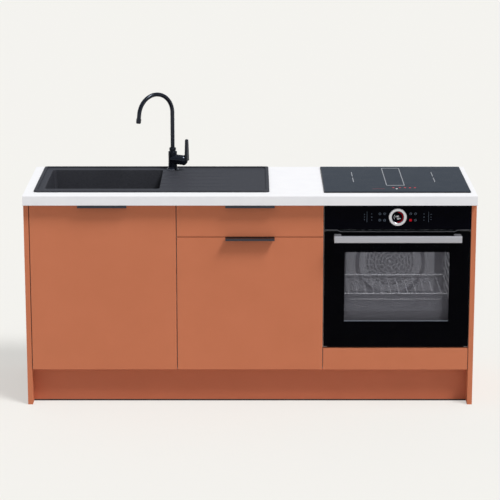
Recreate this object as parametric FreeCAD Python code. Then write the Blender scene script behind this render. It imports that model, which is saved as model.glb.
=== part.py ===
"""Kitchen base unit: a sink unit, a drawer unit and an oven unit under one worktop.

Millimetres, +X to the right, -Y towards the person who stands in front, +Z up.
The origin lies on the floor, under the middle of the whole object.
"""
import FreeCAD
import Part
import math
import os

V = FreeCAD.Vector
X_AXIS = V(1, 0, 0)
Y_AXIS = V(0, 1, 0)
Z_AXIS = V(0, 0, 1)

# Cabinet run
UNIT_WIDTH = 600.0
BOARD = 18.0
END_PANEL = 20.0
CARCASS_HEIGHT = 700.0
BACK_VOID = 10.0
BACK_PANEL = 8.0
FLAT_RAIL_DEPTH = 80.0
UPRIGHT_RAIL_HEIGHT = 90.0
OVEN_RAIL_HEIGHT = 70.0
SHELF_RISE = 260.0
SHELF_SET_BACK = 40.0
SHELF_SIDE_GAP = 0.5
SHELF_PIN_RADIUS = 2.5
SHELF_PIN_SEAT = 9.0
SHELF_PIN_NOSE = 8.0
SHELF_PIN_INSET = 60.0
PIN_FIT = 0.02

# Worktop
WORKTOP_DEPTH = 600.0
WORKTOP_THICKNESS = 40.0
WORKTOP_OVERHANG = 30.0
WORKTOP_EDGE = 2.0
CUT_OUT_CORNER = 12.0
CUT_OUT_GAP = 2.0

# Plinth and legs
PLINTH_HEIGHT = 150.0
PLINTH_SET_BACK = 57.0
PLINTH_BOARD = 16.0
PLINTH_TOP_GAP = 2.0
PLINTH_SEAL = 5.0
SEAL_LIP = 2.0
SEAL_SLOPE = 1.8
LEG_FOOT_RADIUS = 30.0
LEG_STEM_RADIUS = 14.0
LEG_SOCKET_RADIUS = 20.0
LEG_FOOT_HEIGHT = 9.0
LEG_SOCKET_HEIGHT = 46.0
LEG_PLATE = 7.0
LEG_SIDE_INSET = 70.0
LEG_FRONT_GAP = 14.0
LEG_BACK_INSET = 60.0
CLIP_WALL = 3.0
CLIP_HEIGHT = 24.0
CLIP_RISE = 70.0
CLIP_FIT = 0.2
CLIP_MOUTH = 22.0

# Fronts and edge pulls
FRONT = 18.0
FRONT_GAP = 3.0
FRONT_TOP_GAP = 3.0
FRONT_BOTTOM_LIFT = 1.0
FRONT_EDGE = 1.5
BUFFER_GAP = 2.0
DRAWER_FRONT_HEIGHT = 133.0
PULL_WIDTH = 200.0
PULL_REACH = 30.0
PULL_LIP = 9.0
PULL_SHEET = 1.5
PULL_BACK_LEG = 24.0

# Concealed hinges
CUP_RADIUS = 17.5
CUP_EDGE = 3.0
CUP_DEPTH = 14.5
CUP_WALL = 0.8
CUP_FLOOR = 0.6
CUP_FLANGE = 0.8
CUP_FLANGE_HEIGHT = 58.0
CUP_FLANGE_WIDTH = 18.0
HINGE_PIN_RADIUS = 1.2
HINGE_EYE_RADIUS = 2.0
HINGE_PLAY = 0.3
RUNNING_FIT = 0.05
HINGE_ARM = 2.4
HINGE_ARM_HEIGHT = 8.0
HINGE_THROW = 16.0
HINGE_ARM_LENGTH = 62.0
HINGE_PLATE = 3.0
HINGE_PLATE_HEIGHT = 48.0
HINGE_PLATE_SET_BACK = 12.0
HINGE_FROM_BOTTOM = 100.0
HINGE_FROM_TOP = 150.0

# Drawer box and full-extension runners
RUNNER_LENGTH = 450.0
RUNNER_SHEET = 1.2
RUNNER_HEIGHT = 45.0
RUNNER_THICKNESS = 12.7
RUNNER_GAP = 0.4
RUNNER_FLANGE = 9.0
RUNNER_SET_BACK = 3.0
DRAWER_BOARD = 15.0
DRAWER_SIDE_HEIGHT = 88.0
DRAWER_LIFT = 12.0
DRAWER_BOTTOM = 8.0
DRAWER_BOTTOM_RISE = 10.0
RUNNER_RISE = 14.0

# Sink
SINK_LENGTH = 960.0
SINK_FRONT_MARGIN = 70.0
SINK_BACK_MARGIN = 25.0
SINK_LEFT_RIM = 40.0
SINK_CORNER = 16.0
SINK_RIM_HEIGHT = 8.0
SINK_RIM_WIDTH = 13.0
SINK_RIM_ROUND = 3.0
SINK_RECESS = 4.5
SINK_SEAT = 12.0
SINK_SKIRT = 18.0
BOWL_LEFT_CLEARANCE = 41.0
BOWL_RIGHT_CLEARANCE = 53.0
BOWL_FRONT_MARGIN = 59.0
BOWL_BACK_MARGIN = 58.0
BOWL_DEPTH = 190.0
BOWL_WALL = 8.0
BOWL_CORNER = 14.0
BOWL_TAPER = 14.0
BOWL_FLOOR_ROUND = 11.0
BOWL_LIP_ROUND = 2.0
GROOVE_COUNT = 5
GROOVE_RADIUS = 11.0
GROOVE_DEPTH = 3.2
GROOVE_LENGTH = 330.0
GROOVE_FRONT_INSET = 95.0
GROOVE_BACK_INSET = 125.0

# Waste, strainer basket and trap
WASTE_HOLE_RADIUS = 45.0
WASTE_FLANGE_RADIUS = 56.0
WASTE_FLANGE = 2.5
WASTE_WALL = 2.0
WASTE_HOLE_GAP = 0.5
WASTE_POT_DEPTH = 46.0
WASTE_TAIL_RADIUS = 20.0
WASTE_TAIL_LENGTH = 30.0
BASKET_GAP = 0.4
BASKET_WALL = 1.2
BASKET_DEPTH = 30.0
BASKET_KNOB_RADIUS = 6.0
BASKET_KNOB_RISE = 10.0
BASKET_HOLES = 10
BASKET_HOLE_RADIUS = 2.5
BASKET_INNER_RING = 19.0
BASKET_OUTER_RING = 31.0
TRAP_COLLAR_RADIUS = 27.0
TRAP_COLLAR_LENGTH = 26.0
TRAP_BOTTLE_RADIUS = 34.0
TRAP_BOTTLE_LENGTH = 110.0
TRAP_WALL = 3.0
TRAP_OUTLET_RADIUS = 20.0
TRAP_OUTLET_DROP = 22.0
TRAP_OUTLET_TRIM = 12.0
TRAP_NUT_RADIUS = 26.0
TRAP_NUT_LENGTH = 18.0
TRAP_NUT_RELIEF = 1.5

# Mixer tap
TAP_SIDE_OFFSET = 41.0
TAP_BACK_MARGIN = 50.0
TAP_BASE_RADIUS = 26.5
TAP_RING = 4.0
TAP_BODY_RADIUS = 18.75
TAP_BODY_HEIGHT = 80.0
TAP_SHANK_RADIUS = 15.0
TAP_HOLE_GAP = 2.0
TAP_SHANK_LIFT = 3.0
TAP_NUT_RADIUS = 24.0
TAP_NUT = 8.0
TAP_INLET_RADIUS = 5.0
TAP_INLET_DEPTH = 12.0
TAP_INLET_SPACING = 14.0
COLLAR_RADIUS = 14.5
COLLAR_HEIGHT = 16.0
COLLAR_NECK_RADIUS = 12.5
COLLAR_NECK = 5.0
STEM_RADIUS = 11.0
STEM_LENGTH = 34.0
SPOUT_RADIUS = 8.75
SPOUT_BORE = 7.0
SPOUT_STRAIGHT = 247.0
SPOUT_BEND = 85.0
SPOUT_SWEEP = 173.0
SPOUT_DROP = 20.0
SPOUT_TURN = 217.0
AERATOR_RADIUS = 10.5
AERATOR_LENGTH = 20.0
LEVER_TURN = -30.0
HOUSING_RADIUS = 21.0
HOUSING_REACH = 48.0
HOUSING_RISE = 46.0
DOME_GAP = 0.3
CARTRIDGE_RADIUS = 12.0
CARTRIDGE_DEPTH = 16.0
CARTRIDGE_HEAD = 5.0
LEVER_CAP_RADIUS = 24.0
LEVER_CAP_START = 9.5
LEVER_PIN_RADIUS = 2.0
LEVER_EYE_RADIUS = 5.0
LEVER_EYE_WIDTH = 8.0
LEVER_SLOT_GAP = 0.5
LEVER_STEM_RADIUS = 3.5
LEVER_RISE = 92.0
LEVER_ROOT_WIDTH = 24.0
LEVER_TIP_WIDTH = 15.0
LEVER_BLADE = 12.0
LEVER_BLADE_ROUND = 3.5

# Hob
HOB_SIDE_MARGIN = 1.0
HOB_FRONT_MARGIN = 61.0
HOB_BACK_MARGIN = 19.0
HOB_GLASS = 5.0
HOB_CORNER = 6.0
HOB_BEVEL = 1.5
HOB_SEAT = 17.0
HOB_SHEET = 1.0
HOB_BOTTOM_GAP = 3.0
COIL_RADIUS = 92.0
COIL_EYE_RADIUS = 22.0
COIL_THICKNESS = 8.0
COIL_TURNS = 4
COIL_GROOVE = 1.5

# Oven housing
OVEN_SHELF_RISE = 105.0
OVEN_SIDE_CLEARANCE = 3.0
OVEN_TOP_CLEARANCE = 15.0
OVEN_FACE_GAP = 2.5
OVEN_SHEET = 1.5
OVEN_BACK_CLEARANCE = 16.0
OVEN_FRONT_SET_BACK = 20.0
OVEN_CASING_LIP = 2.0
CAVITY_SIDE_INSULATION = 44.0
CAVITY_FLOOR_RISE = 65.0
CAVITY_TOP_DROP = 53.0
CAVITY_CORNER = 14.0
CAVITY_FLANGE = 20.0
FAN_BAY = 86.0
SEAL_RADIUS = 2.6
SEAL_OFFSET = 7.0
SEAL_NOSE = 1.8

# Oven fan and ring element
FAN_COVER_STAND_OFF = 40.0
FAN_COVER_SIDE_MARGIN = 45.0
FAN_COVER_TOP_MARGIN = 28.0
FAN_COVER_SHEET = 1.5
FAN_COVER_CORNER = 20.0
FAN_SLOT_RINGS = 7
FAN_SLOT_FIRST_RADIUS = 13.0
FAN_SLOT_PITCH = 14.0
FAN_SLOT_SPAN = 24.0
FAN_SLOT_WIDTH = 7.0
FAN_SLOT_BRIDGE = 6.0
FAN_BAND_RADIUS = 134.0
FAN_BAND_WIDTH = 20.0
FAN_BAND_HEIGHT = 2.5
FAN_WHEEL_RADIUS = 70.0
FAN_HUB_RADIUS = 14.0
FAN_BLADES = 12
FAN_BLADE_SHEET = 1.2
FAN_BLADE_DEPTH = 18.0
FAN_BLADE_ANGLE = 25.0
FAN_WHEEL_GAP = 10.0
FAN_SHAFT_RADIUS = 4.0
FAN_SHAFT_HOLE = 6.0
FAN_MOTOR_RADIUS = 38.0
FAN_MOTOR_LENGTH = 48.0
MOTOR_PLATE = 3.0
MOTOR_PLATE_RADIUS = 52.0
ELEMENT_RADIUS = 90.0
ELEMENT_ROD = 3.3
ELEMENT_ELBOW = 3.6
ELEMENT_STAND_OFF = 18.0
TERMINAL_LENGTH = 14.0
TERMINAL_SPACING = 40.0
TERMINAL_GAP = 0.3

# Oven racks, shelf and tray
RACK_WIRE = 2.5
RACK_LEVELS = 8
RACK_FIRST_RISE = 26.0
RACK_PITCH = 35.0
RACK_END_INSET = 30.0
RACK_WALL_GAP = 0.1
RACK_BITE = 4.0
SHELF_ROD = 3.0
SHELF_WIRE = 1.6
SHELF_WIRES = 12
SHELF_LEVEL = 3
SHELF_FRONT_DROP = 24.0
SHELF_END_GAP = 12.0
TRAY_LEVEL = 1
TRAY_HEIGHT = 26.0
TRAY_SHEET = 1.2
TRAY_CORNER = 18.0
TRAY_SIDE_GAP = 2.0
TRAY_LIP_GAP = 0.8
TRAY_END_GAP = 16.0

# Oven front: control panel, door and handle
PANEL_HEIGHT = 103.0
PANEL_TOP_GAP = 2.0
PANEL_DOOR_GAP = 2.0
RING_RADIUS = 36.5
RING_BORE = 24.0
RING_PROUD = 6.0
RING_SEAT_DEPTH = 9.0
RING_SIDE_GAP = 0.6
RING_ROUND = 2.0
DOOR_DROP = 5.0
DOOR_FILLER_GAP = 8.0
DOOR_GLASS = 4.0
DOOR_FLANGE = 10.0
DOOR_FLANGE_INSET = 4.0
DOOR_BODY_INSET = 32.0
DOOR_BODY_BOTTOM = 24.0
DOOR_BODY_TOP = 8.0
DOOR_SEAL_GAP = 6.0
DOOR_STEP_INSET = 66.0
DOOR_STEP = 7.0
DOOR_STEP_RUN = 14.0
TRIM_SHEET = 1.5
WINDOW_SIDE_MARGIN = 83.5
WINDOW_BOTTOM_MARGIN = 107.0
WINDOW_TOP_MARGIN = 94.0
WINDOW_CORNER = 6.0
INNER_GLASS = 4.0
INNER_GLASS_INSET = 6.0
DOOR_MASK = 2.0
DOOR_WALL = 14.0
DOOR_PIVOT_BACK = 12.0
DOOR_PIVOT_RISE = 7.0
DOOR_PIN_RADIUS = 3.0
DOOR_EYE_RADIUS = 6.0
DOOR_LUG = 4.0
DOOR_LUG_INSET = 1.0
DOOR_LUG_GAP = 0.5
DOOR_PIN_BITE = 5.0
DOOR_NOTCH_GAP = 1.0
HANDLE_WIDTH = 517.0
HANDLE_HEIGHT = 28.0
HANDLE_THICKNESS = 15.0
HANDLE_REACH = 50.0
HANDLE_DROP = 30.0
HANDLE_ROUND = 4.0
HANDLE_POST_WIDTH = 30.0
HANDLE_POST_HEIGHT = 26.0

# Planes that everything is placed from
front_reach = max(WORKTOP_OVERHANG, HANDLE_REACH, PULL_REACH)
back_y = (WORKTOP_DEPTH - WORKTOP_OVERHANG + front_reach) / 2
top_front_y = back_y - WORKTOP_DEPTH
face_y = top_front_y + WORKTOP_OVERHANG
inner_y = face_y + FRONT
carcass_y = inner_y + BUFFER_GAP
carcass_back_y = back_y - BACK_VOID
carcass_z = PLINTH_HEIGHT
carcass_top_z = carcass_z + CARCASS_HEIGHT
top_z = carcass_top_z + WORKTOP_THICKNESS
run_x = [UNIT_WIDTH * (step - 1.5) for step in range(4)]
sink_x, drawer_x, oven_x, end_x = run_x
half_width = end_x + END_PANEL
front_z = carcass_z + FRONT_BOTTOM_LIFT
front_top_z = carcass_top_z - FRONT_TOP_GAP
drawer_front_z = front_top_z - DRAWER_FRONT_HEIGHT
cupboard_top_z = drawer_front_z - FRONT_GAP

# Two points this close together count as one
SAME_PLACE = 1e-3

parts = {}


def box(x0, x1, y0, y1, z0, z1):
    """Rectangular block between two opposite corners."""
    return Part.makeBox(x1 - x0, y1 - y0, z1 - z0, V(x0, y0, z0))


def rod(radius, start, end):
    """Round bar from one point to another."""
    return Part.makeCylinder(radius, (end - start).Length, start, end - start)


def prism(points, travel):
    """Solid made by moving a flat outline along a vector."""
    return Part.Face(Part.makePolygon(points + [points[0]])).extrude(travel)


def turned(profile, base, axis):
    """Solid turned from (radius, height) points about an axis through base."""
    points = [V(radius, 0, height) for radius, height in profile]
    solid = Part.Face(Part.makePolygon(points + [points[0]])).revolve(V(0, 0, 0), Z_AXIS, 360)
    solid.Placement = FreeCAD.Placement(base, FreeCAD.Rotation(Z_AXIS, axis))
    return solid


def edges_along(shape, axis):
    """Straight edges that run along an axis."""
    straight = [edge for edge in shape.Edges if isinstance(edge.Curve, Part.Line)]
    return [edge for edge in straight if abs(edge.Curve.Direction.dot(axis)) > 0.999]


def level_edges(shape, z):
    """Edges that lie wholly at one height."""
    boxes = [(edge, edge.BoundBox) for edge in shape.Edges]
    return [edge for edge, room in boxes if max(abs(room.ZMin - z), abs(room.ZMax - z)) < SAME_PLACE]


def rounded_block(x0, x1, y0, y1, z0, z1, radius, axis):
    """Block with the four edges along one axis rounded."""
    block = box(x0, x1, y0, y1, z0, z1)
    return block.makeFillet(radius, edges_along(block, axis))


def rounded_outline(x0, x1, y0, y1, z, radius):
    """Level rectangle with round corners, as one closed wire."""
    centres = [(x1 - radius, y1 - radius), (x0 + radius, y1 - radius)]
    centres += [(x0 + radius, y0 + radius), (x1 - radius, y0 + radius)]
    arcs = []
    for quarter, (x, y) in enumerate(centres):
        circle = Part.Circle(V(x, y, z), Z_AXIS, radius)
        start = quarter * math.pi / 2
        arcs.append(Part.Arc(circle, start, start + math.pi / 2).toShape())
    edges = []
    for quarter, arc in enumerate(arcs):
        following = arcs[(quarter + 1) % 4]
        start = arc.valueAt(arc.LastParameter)
        edges += [arc, Part.makeLine(start, following.valueAt(following.FirstParameter))]
    return Part.Wire(edges)


def fused(shapes):
    """One solid from several that meet."""
    return shapes[0].multiFuse(shapes[1:]).removeSplitter()


def mirrored_pair(shape, middle_x):
    """A piece and its mirror image about an upright plane."""
    return Part.makeCompound([shape, shape.mirror(V(middle_x, 0, 0), X_AXIS)])


def unit_sides(x):
    """Left and right boards of one unit."""
    left = box(x, x + BOARD, carcass_y, carcass_back_y, carcass_z, carcass_top_z)
    right = left.translated(V(UNIT_WIDTH - BOARD, 0, 0))
    return [left, right]


def unit_floor(x):
    """Bottom board between the two sides of a unit."""
    return box(x + BOARD, x + UNIT_WIDTH - BOARD, carcass_y, carcass_back_y, carcass_z, carcass_z + BOARD)


def build_carcasses():
    """End panels, sides, floors, rails, back and shelves of the three units."""
    left_panel = box(-half_width, sink_x, face_y, back_y, 0, carcass_top_z)
    parts["end_panels"] = Part.makeCompound([left_panel, left_panel.translated(V(half_width + end_x, 0, 0))])
    parts["unit_floors"] = Part.makeCompound([unit_floor(x) for x in run_x[:3]])

    upright_z = carcass_top_z - UPRIGHT_RAIL_HEIGHT
    sink_span = (sink_x + BOARD, drawer_x - BOARD)
    drawer_span = (drawer_x + BOARD, oven_x - BOARD)
    oven_span = (oven_x + BOARD, end_x - BOARD)
    flat_z = carcass_top_z - BOARD
    oven_rail_z = carcass_top_z - OVEN_RAIL_HEIGHT
    rails = [
        box(*sink_span, carcass_y, carcass_y + BOARD, upright_z, carcass_top_z),
        box(*sink_span, carcass_back_y - BOARD, carcass_back_y, upright_z, carcass_top_z),
        box(*drawer_span, carcass_y, carcass_y + FLAT_RAIL_DEPTH, flat_z, carcass_top_z),
        box(*drawer_span, carcass_back_y - FLAT_RAIL_DEPTH, carcass_back_y, flat_z, carcass_top_z),
        box(*oven_span, carcass_back_y - BOARD / 2, carcass_back_y, oven_rail_z, carcass_top_z),
    ]
    parts["unit_rails"] = Part.makeCompound(rails)
    back_z = carcass_z + BOARD
    parts["drawer_unit_back"] = box(*drawer_span, carcass_back_y - BACK_PANEL, carcass_back_y, back_z, flat_z)

    shelf_z = carcass_z + BOARD + SHELF_RISE
    shelf_y0 = carcass_y + SHELF_SET_BACK
    shelf_y1 = carcass_back_y - BACK_PANEL
    shelf = box(drawer_span[0] + SHELF_SIDE_GAP, drawer_span[1] - SHELF_SIDE_GAP,
                shelf_y0, shelf_y1, shelf_z - BOARD, shelf_z)
    oven_shelf_z = carcass_z + OVEN_SHELF_RISE
    oven_shelf = box(*oven_span, carcass_y, carcass_back_y, oven_shelf_z - BOARD, oven_shelf_z)
    parts["unit_shelves"] = Part.makeCompound([shelf, oven_shelf])

    pin_z = shelf_z - BOARD - SHELF_PIN_RADIUS
    sides = unit_sides(drawer_x)
    pins = []
    for pin_y in (shelf_y0 + SHELF_PIN_INSET, shelf_y1 - SHELF_PIN_INSET):
        for side, (wall_x, inward) in enumerate(((drawer_span[0], 1), (drawer_span[1], -1))):
            seat = V(wall_x - inward * SHELF_PIN_SEAT, pin_y, pin_z)
            nose = V(wall_x + inward * SHELF_PIN_NOSE, pin_y, pin_z)
            pins.append(rod(SHELF_PIN_RADIUS, seat, nose))
            sides[side] = sides[side].cut(rod(SHELF_PIN_RADIUS + PIN_FIT, seat, nose))
    parts["shelf_pins"] = Part.makeCompound(pins)
    parts["unit_sides"] = Part.makeCompound(unit_sides(sink_x) + sides + unit_sides(oven_x))


def leg_places():
    """Front and back leg centres under the three units."""
    front_y = face_y + PLINTH_SET_BACK + PLINTH_BOARD + LEG_FRONT_GAP + LEG_SOCKET_RADIUS
    rear_y = carcass_back_y - LEG_BACK_INSET
    columns = []
    for x in run_x[:3]:
        columns += [x + LEG_SIDE_INSET, x + UNIT_WIDTH - LEG_SIDE_INSET]
    return columns, front_y, rear_y


def build_plinth():
    """Plinth board, floor seal, adjustable legs and the clips that hold the board to them."""
    board_y = face_y + PLINTH_SET_BACK
    back_of_board = board_y + PLINTH_BOARD
    parts["plinth_panel"] = box(sink_x, end_x, board_y, back_of_board, PLINTH_SEAL,
                                PLINTH_HEIGHT - PLINTH_TOP_GAP)
    seal = box(sink_x, end_x, board_y - SEAL_LIP, back_of_board, 0, PLINTH_SEAL)
    slope = [edge for edge in edges_along(seal, X_AXIS) if edge.BoundBox.YMax < board_y]
    upper = [edge for edge in slope if edge.BoundBox.ZMin > PLINTH_SEAL / 2]
    parts["plinth_seal"] = seal.makeChamfer(SEAL_SLOPE, upper)

    socket_z = carcass_z - LEG_SOCKET_HEIGHT
    plate_z = carcass_z - LEG_PLATE
    leg_profile = [(0, 0), (LEG_FOOT_RADIUS, 0), (LEG_FOOT_RADIUS, LEG_FOOT_HEIGHT / 2),
                   (LEG_STEM_RADIUS, LEG_FOOT_HEIGHT), (LEG_STEM_RADIUS, socket_z),
                   (LEG_SOCKET_RADIUS, socket_z), (LEG_SOCKET_RADIUS, plate_z),
                   (LEG_FOOT_RADIUS, plate_z), (LEG_FOOT_RADIUS, carcass_z), (0, carcass_z)]
    columns, front_y, rear_y = leg_places()
    legs = [turned(leg_profile, V(x, y, 0), Z_AXIS) for x in columns for y in (front_y, rear_y)]
    parts["adjustable_legs"] = Part.makeCompound(legs)

    inside = LEG_STEM_RADIUS + CLIP_FIT
    outside = inside + CLIP_WALL
    clips = []
    for x in columns:
        centre = V(x, front_y, CLIP_RISE)
        jaw = Part.makeCylinder(outside, CLIP_HEIGHT, centre)
        stalk = box(x - inside / 2, x + inside / 2, back_of_board, front_y,
                    CLIP_RISE, CLIP_RISE + CLIP_HEIGHT)
        foot = box(x - outside, x + outside, back_of_board, back_of_board + CLIP_WALL,
                   CLIP_RISE, CLIP_RISE + CLIP_HEIGHT)
        mouth = box(x - CLIP_MOUTH / 2, x + CLIP_MOUTH / 2, front_y, front_y + outside,
                    CLIP_RISE, CLIP_RISE + CLIP_HEIGHT)
        clip = fused([jaw, stalk, foot]).cut(mouth)
        clips.append(clip.cut(Part.makeCylinder(inside, CLIP_HEIGHT, centre)))
    parts["plinth_clips"] = Part.makeCompound(clips)


def front_panel(x0, x1, z0, z1):
    """Furniture front with its face edges slightly rounded."""
    panel = box(x0, x1, face_y, inner_y, z0, z1)
    face_edges = [edge for edge in panel.Edges if edge.BoundBox.YMax < face_y + FRONT / 2]
    return panel.makeFillet(FRONT_EDGE, face_edges)


def edge_pull(middle_x, z):
    """Folded pull: over the top edge of a front, out to a turned-down lip, and down the back."""
    lip_y = face_y - PULL_REACH
    top = z + PULL_SHEET
    outline = [
        V(0, lip_y, top), V(0, inner_y + PULL_SHEET, top),
        V(0, inner_y + PULL_SHEET, z - PULL_BACK_LEG), V(0, inner_y, z - PULL_BACK_LEG),
        V(0, inner_y, z), V(0, lip_y + PULL_SHEET, z),
        V(0, lip_y + PULL_SHEET, top - PULL_LIP), V(0, lip_y, top - PULL_LIP),
    ]
    pull = prism(outline, V(PULL_WIDTH, 0, 0))
    outer_fold = [edge for edge in edges_along(pull, X_AXIS)
                  if edge.BoundBox.YMax < lip_y + PULL_SHEET / 2 and edge.BoundBox.ZMin > z]
    pull = pull.makeFillet(PULL_SHEET, outer_fold)
    return pull.translated(V(middle_x - PULL_WIDTH / 2, 0, 0))


def hinge_pivot(door_x):
    """Plan position of the pivot of a door whose hinged edge is at door_x."""
    hollow = CUP_RADIUS - CUP_WALL
    wall = math.sqrt(hollow ** 2 - (HINGE_ARM_HEIGHT / 2) ** 2)
    x = door_x + CUP_EDGE + CUP_RADIUS - wall + HINGE_PLAY + HINGE_EYE_RADIUS
    y = inner_y - CUP_DEPTH + CUP_FLOOR + HINGE_PLAY + HINGE_EYE_RADIUS
    return x, y


def hinge_heights(z0, z1):
    """Heights of the two hinges of a door."""
    return z0 + HINGE_FROM_BOTTOM, z1 - HINGE_FROM_TOP


def hinge_cup(door_x, z):
    """Steel cup let into the door, with its flange and hinge pin."""
    cup_x = door_x + CUP_EDGE + CUP_RADIUS
    pivot_x, pivot_y = hinge_pivot(door_x)
    hollow = CUP_RADIUS - CUP_WALL
    mouth = inner_y + CUP_FLANGE
    body = rod(CUP_RADIUS, V(cup_x, inner_y - CUP_DEPTH, z), V(cup_x, inner_y, z))
    flange = box(cup_x - CUP_FLANGE_WIDTH / 2, cup_x + CUP_FLANGE_WIDTH / 2, inner_y, mouth,
                 z - CUP_FLANGE_HEIGHT / 2, z + CUP_FLANGE_HEIGHT / 2)
    rim = rod(CUP_RADIUS, V(cup_x, inner_y, z), V(cup_x, mouth, z))
    inside = rod(hollow, V(cup_x, inner_y - CUP_DEPTH + CUP_FLOOR, z), V(cup_x, mouth, z))
    half_pin = math.sqrt(CUP_RADIUS ** 2 - (cup_x - pivot_x + HINGE_PIN_RADIUS) ** 2) - CUP_WALL / 4
    pin = rod(HINGE_PIN_RADIUS, V(pivot_x, pivot_y, z - half_pin), V(pivot_x, pivot_y, z + half_pin))
    return fused([fused([body, flange, rim]).cut(inside), pin])


def hinge_arm(door_x, wall_x, z):
    """Cranked arm from the hinge pin round the board's edge to its plate on the side board."""
    pivot_x, pivot_y = hinge_pivot(door_x)
    z0 = z - HINGE_ARM_HEIGHT / 2
    z1 = z + HINGE_ARM_HEIGHT / 2
    half = HINGE_ARM / 2
    elbow_x = pivot_x + HINGE_THROW
    arm_y = carcass_y + HINGE_ARM_LENGTH
    eye = rod(HINGE_EYE_RADIUS, V(pivot_x, pivot_y, z0), V(pivot_x, pivot_y, z1))
    nose = box(pivot_x, elbow_x + half, pivot_y - half, pivot_y + half, z0, z1)
    arm = box(elbow_x - half, elbow_x + half, pivot_y - half, arm_y, z0, z1)
    plate_y = carcass_y + HINGE_PLATE_SET_BACK
    plate = box(wall_x, wall_x + HINGE_PLATE, plate_y, arm_y,
                z - HINGE_PLATE_HEIGHT / 2, z + HINGE_PLATE_HEIGHT / 2)
    saddle = box(wall_x, elbow_x, plate_y, arm_y, z0, z1)
    bore = rod(HINGE_PIN_RADIUS + RUNNING_FIT, V(pivot_x, pivot_y, z0), V(pivot_x, pivot_y, z1))
    return fused([eye, nose, arm, plate, saddle]).cut(bore)


def build_fronts():
    """Two doors, the drawer front, their pulls and the door hinges."""
    doors = {
        "sink_door": (sink_x + FRONT_GAP, drawer_x - FRONT_GAP / 2, front_top_z, sink_x + BOARD),
        "cupboard_door": (drawer_x + FRONT_GAP / 2, oven_x - FRONT_GAP / 2, cupboard_top_z, drawer_x + BOARD),
    }
    arms = []
    for name, (x0, x1, z1, wall_x) in doors.items():
        door = front_panel(x0, x1, front_z, z1)
        cups = []
        for z in hinge_heights(front_z, z1):
            cup_x = x0 + CUP_EDGE + CUP_RADIUS
            door = door.cut(rod(CUP_RADIUS, V(cup_x, inner_y - CUP_DEPTH, z), V(cup_x, inner_y, z)))
            cups.append(hinge_cup(x0, z))
            arms.append(hinge_arm(x0, wall_x, z))
        parts[name] = door
        parts[name + "_hinge_cups"] = Part.makeCompound(cups)
        parts[name + "_pull"] = edge_pull((x0 + x1) / 2, z1)
    parts["hinge_arms"] = Part.makeCompound(arms)
    x0 = drawer_x + FRONT_GAP / 2
    x1 = oven_x - FRONT_GAP / 2
    parts["drawer_front"] = front_panel(x0, x1, drawer_front_z, front_top_z)
    parts["drawer_pull"] = edge_pull((x0 + x1) / 2, front_top_z)


def runner_member(web_x, flange_x, height, middle_z):
    """Channel-section runner member: an upright web with a flange along its top and bottom edges."""
    thick = RUNNER_SHEET if flange_x > web_x else -RUNNER_SHEET
    half = height / 2
    corners = [(web_x, -half), (flange_x, -half), (flange_x, RUNNER_SHEET - half),
               (web_x + thick, RUNNER_SHEET - half), (web_x + thick, half - RUNNER_SHEET),
               (flange_x, half - RUNNER_SHEET), (flange_x, half), (web_x, half)]
    start_y = carcass_y + RUNNER_SET_BACK
    return prism([V(x, start_y, middle_z + z) for x, z in corners], V(0, RUNNER_LENGTH, 0))


def build_drawer():
    """Drawer box on telescopic runners: cabinet, middle and drawer members nest in one another."""
    wall_x = drawer_x + BOARD
    side_x = wall_x + RUNNER_THICKNESS
    box_z = drawer_front_z + DRAWER_LIFT
    box_back_y = carcass_y + RUNNER_SET_BACK + RUNNER_LENGTH
    middle_x = (drawer_x + oven_x) / 2
    step = RUNNER_SHEET + RUNNER_GAP
    runner_z = box_z + RUNNER_RISE + RUNNER_HEIGHT / 2
    cabinet = runner_member(wall_x, wall_x + RUNNER_FLANGE, RUNNER_HEIGHT, runner_z)
    middle = runner_member(wall_x + step, side_x - step, RUNNER_HEIGHT - 2 * step, runner_z)
    inner = runner_member(side_x, wall_x + 2 * step, RUNNER_HEIGHT - 4 * step, runner_z)
    parts["drawer_runner_cabinet"] = mirrored_pair(cabinet, middle_x)
    parts["drawer_runner_middle"] = mirrored_pair(middle, middle_x)
    parts["drawer_runner_inner"] = mirrored_pair(inner, middle_x)

    top = box_z + DRAWER_SIDE_HEIGHT
    left = box(side_x, side_x + DRAWER_BOARD, inner_y, box_back_y, box_z, top)
    right = left.mirror(V(middle_x, 0, 0), X_AXIS)
    inside_x0 = side_x + DRAWER_BOARD
    inside_x1 = 2 * middle_x - inside_x0
    back = box(inside_x0, inside_x1, box_back_y - DRAWER_BOARD, box_back_y, box_z, top)
    bottom_z = box_z + DRAWER_BOTTOM_RISE
    bottom = box(inside_x0, inside_x1, inner_y, box_back_y - DRAWER_BOARD, bottom_z, bottom_z + DRAWER_BOTTOM)
    parts["drawer_box"] = Part.makeCompound([left, right, back, bottom])


# Sink outline and bowl, shared by the sink, the worktop cut-out, the waste and the tap
bowl_x0 = sink_x + BOARD + BOWL_LEFT_CLEARANCE
bowl_x1 = drawer_x - BOARD - BOWL_RIGHT_CLEARANCE
sink_x0 = bowl_x0 - SINK_LEFT_RIM
sink_x1 = sink_x0 + SINK_LENGTH
sink_y0 = top_front_y + SINK_FRONT_MARGIN
sink_y1 = back_y - SINK_BACK_MARGIN
bowl_y0 = sink_y0 + BOWL_FRONT_MARGIN
bowl_y1 = sink_y1 - BOWL_BACK_MARGIN
deck_z = top_z + SINK_RIM_HEIGHT - SINK_RECESS
bowl_floor_z = deck_z - BOWL_DEPTH
waste_x = (bowl_x0 + bowl_x1) / 2
waste_y = (bowl_y0 + bowl_y1) / 2
tap_x = bowl_x1 + TAP_SIDE_OFFSET
tap_y = sink_y1 - TAP_BACK_MARGIN


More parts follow.
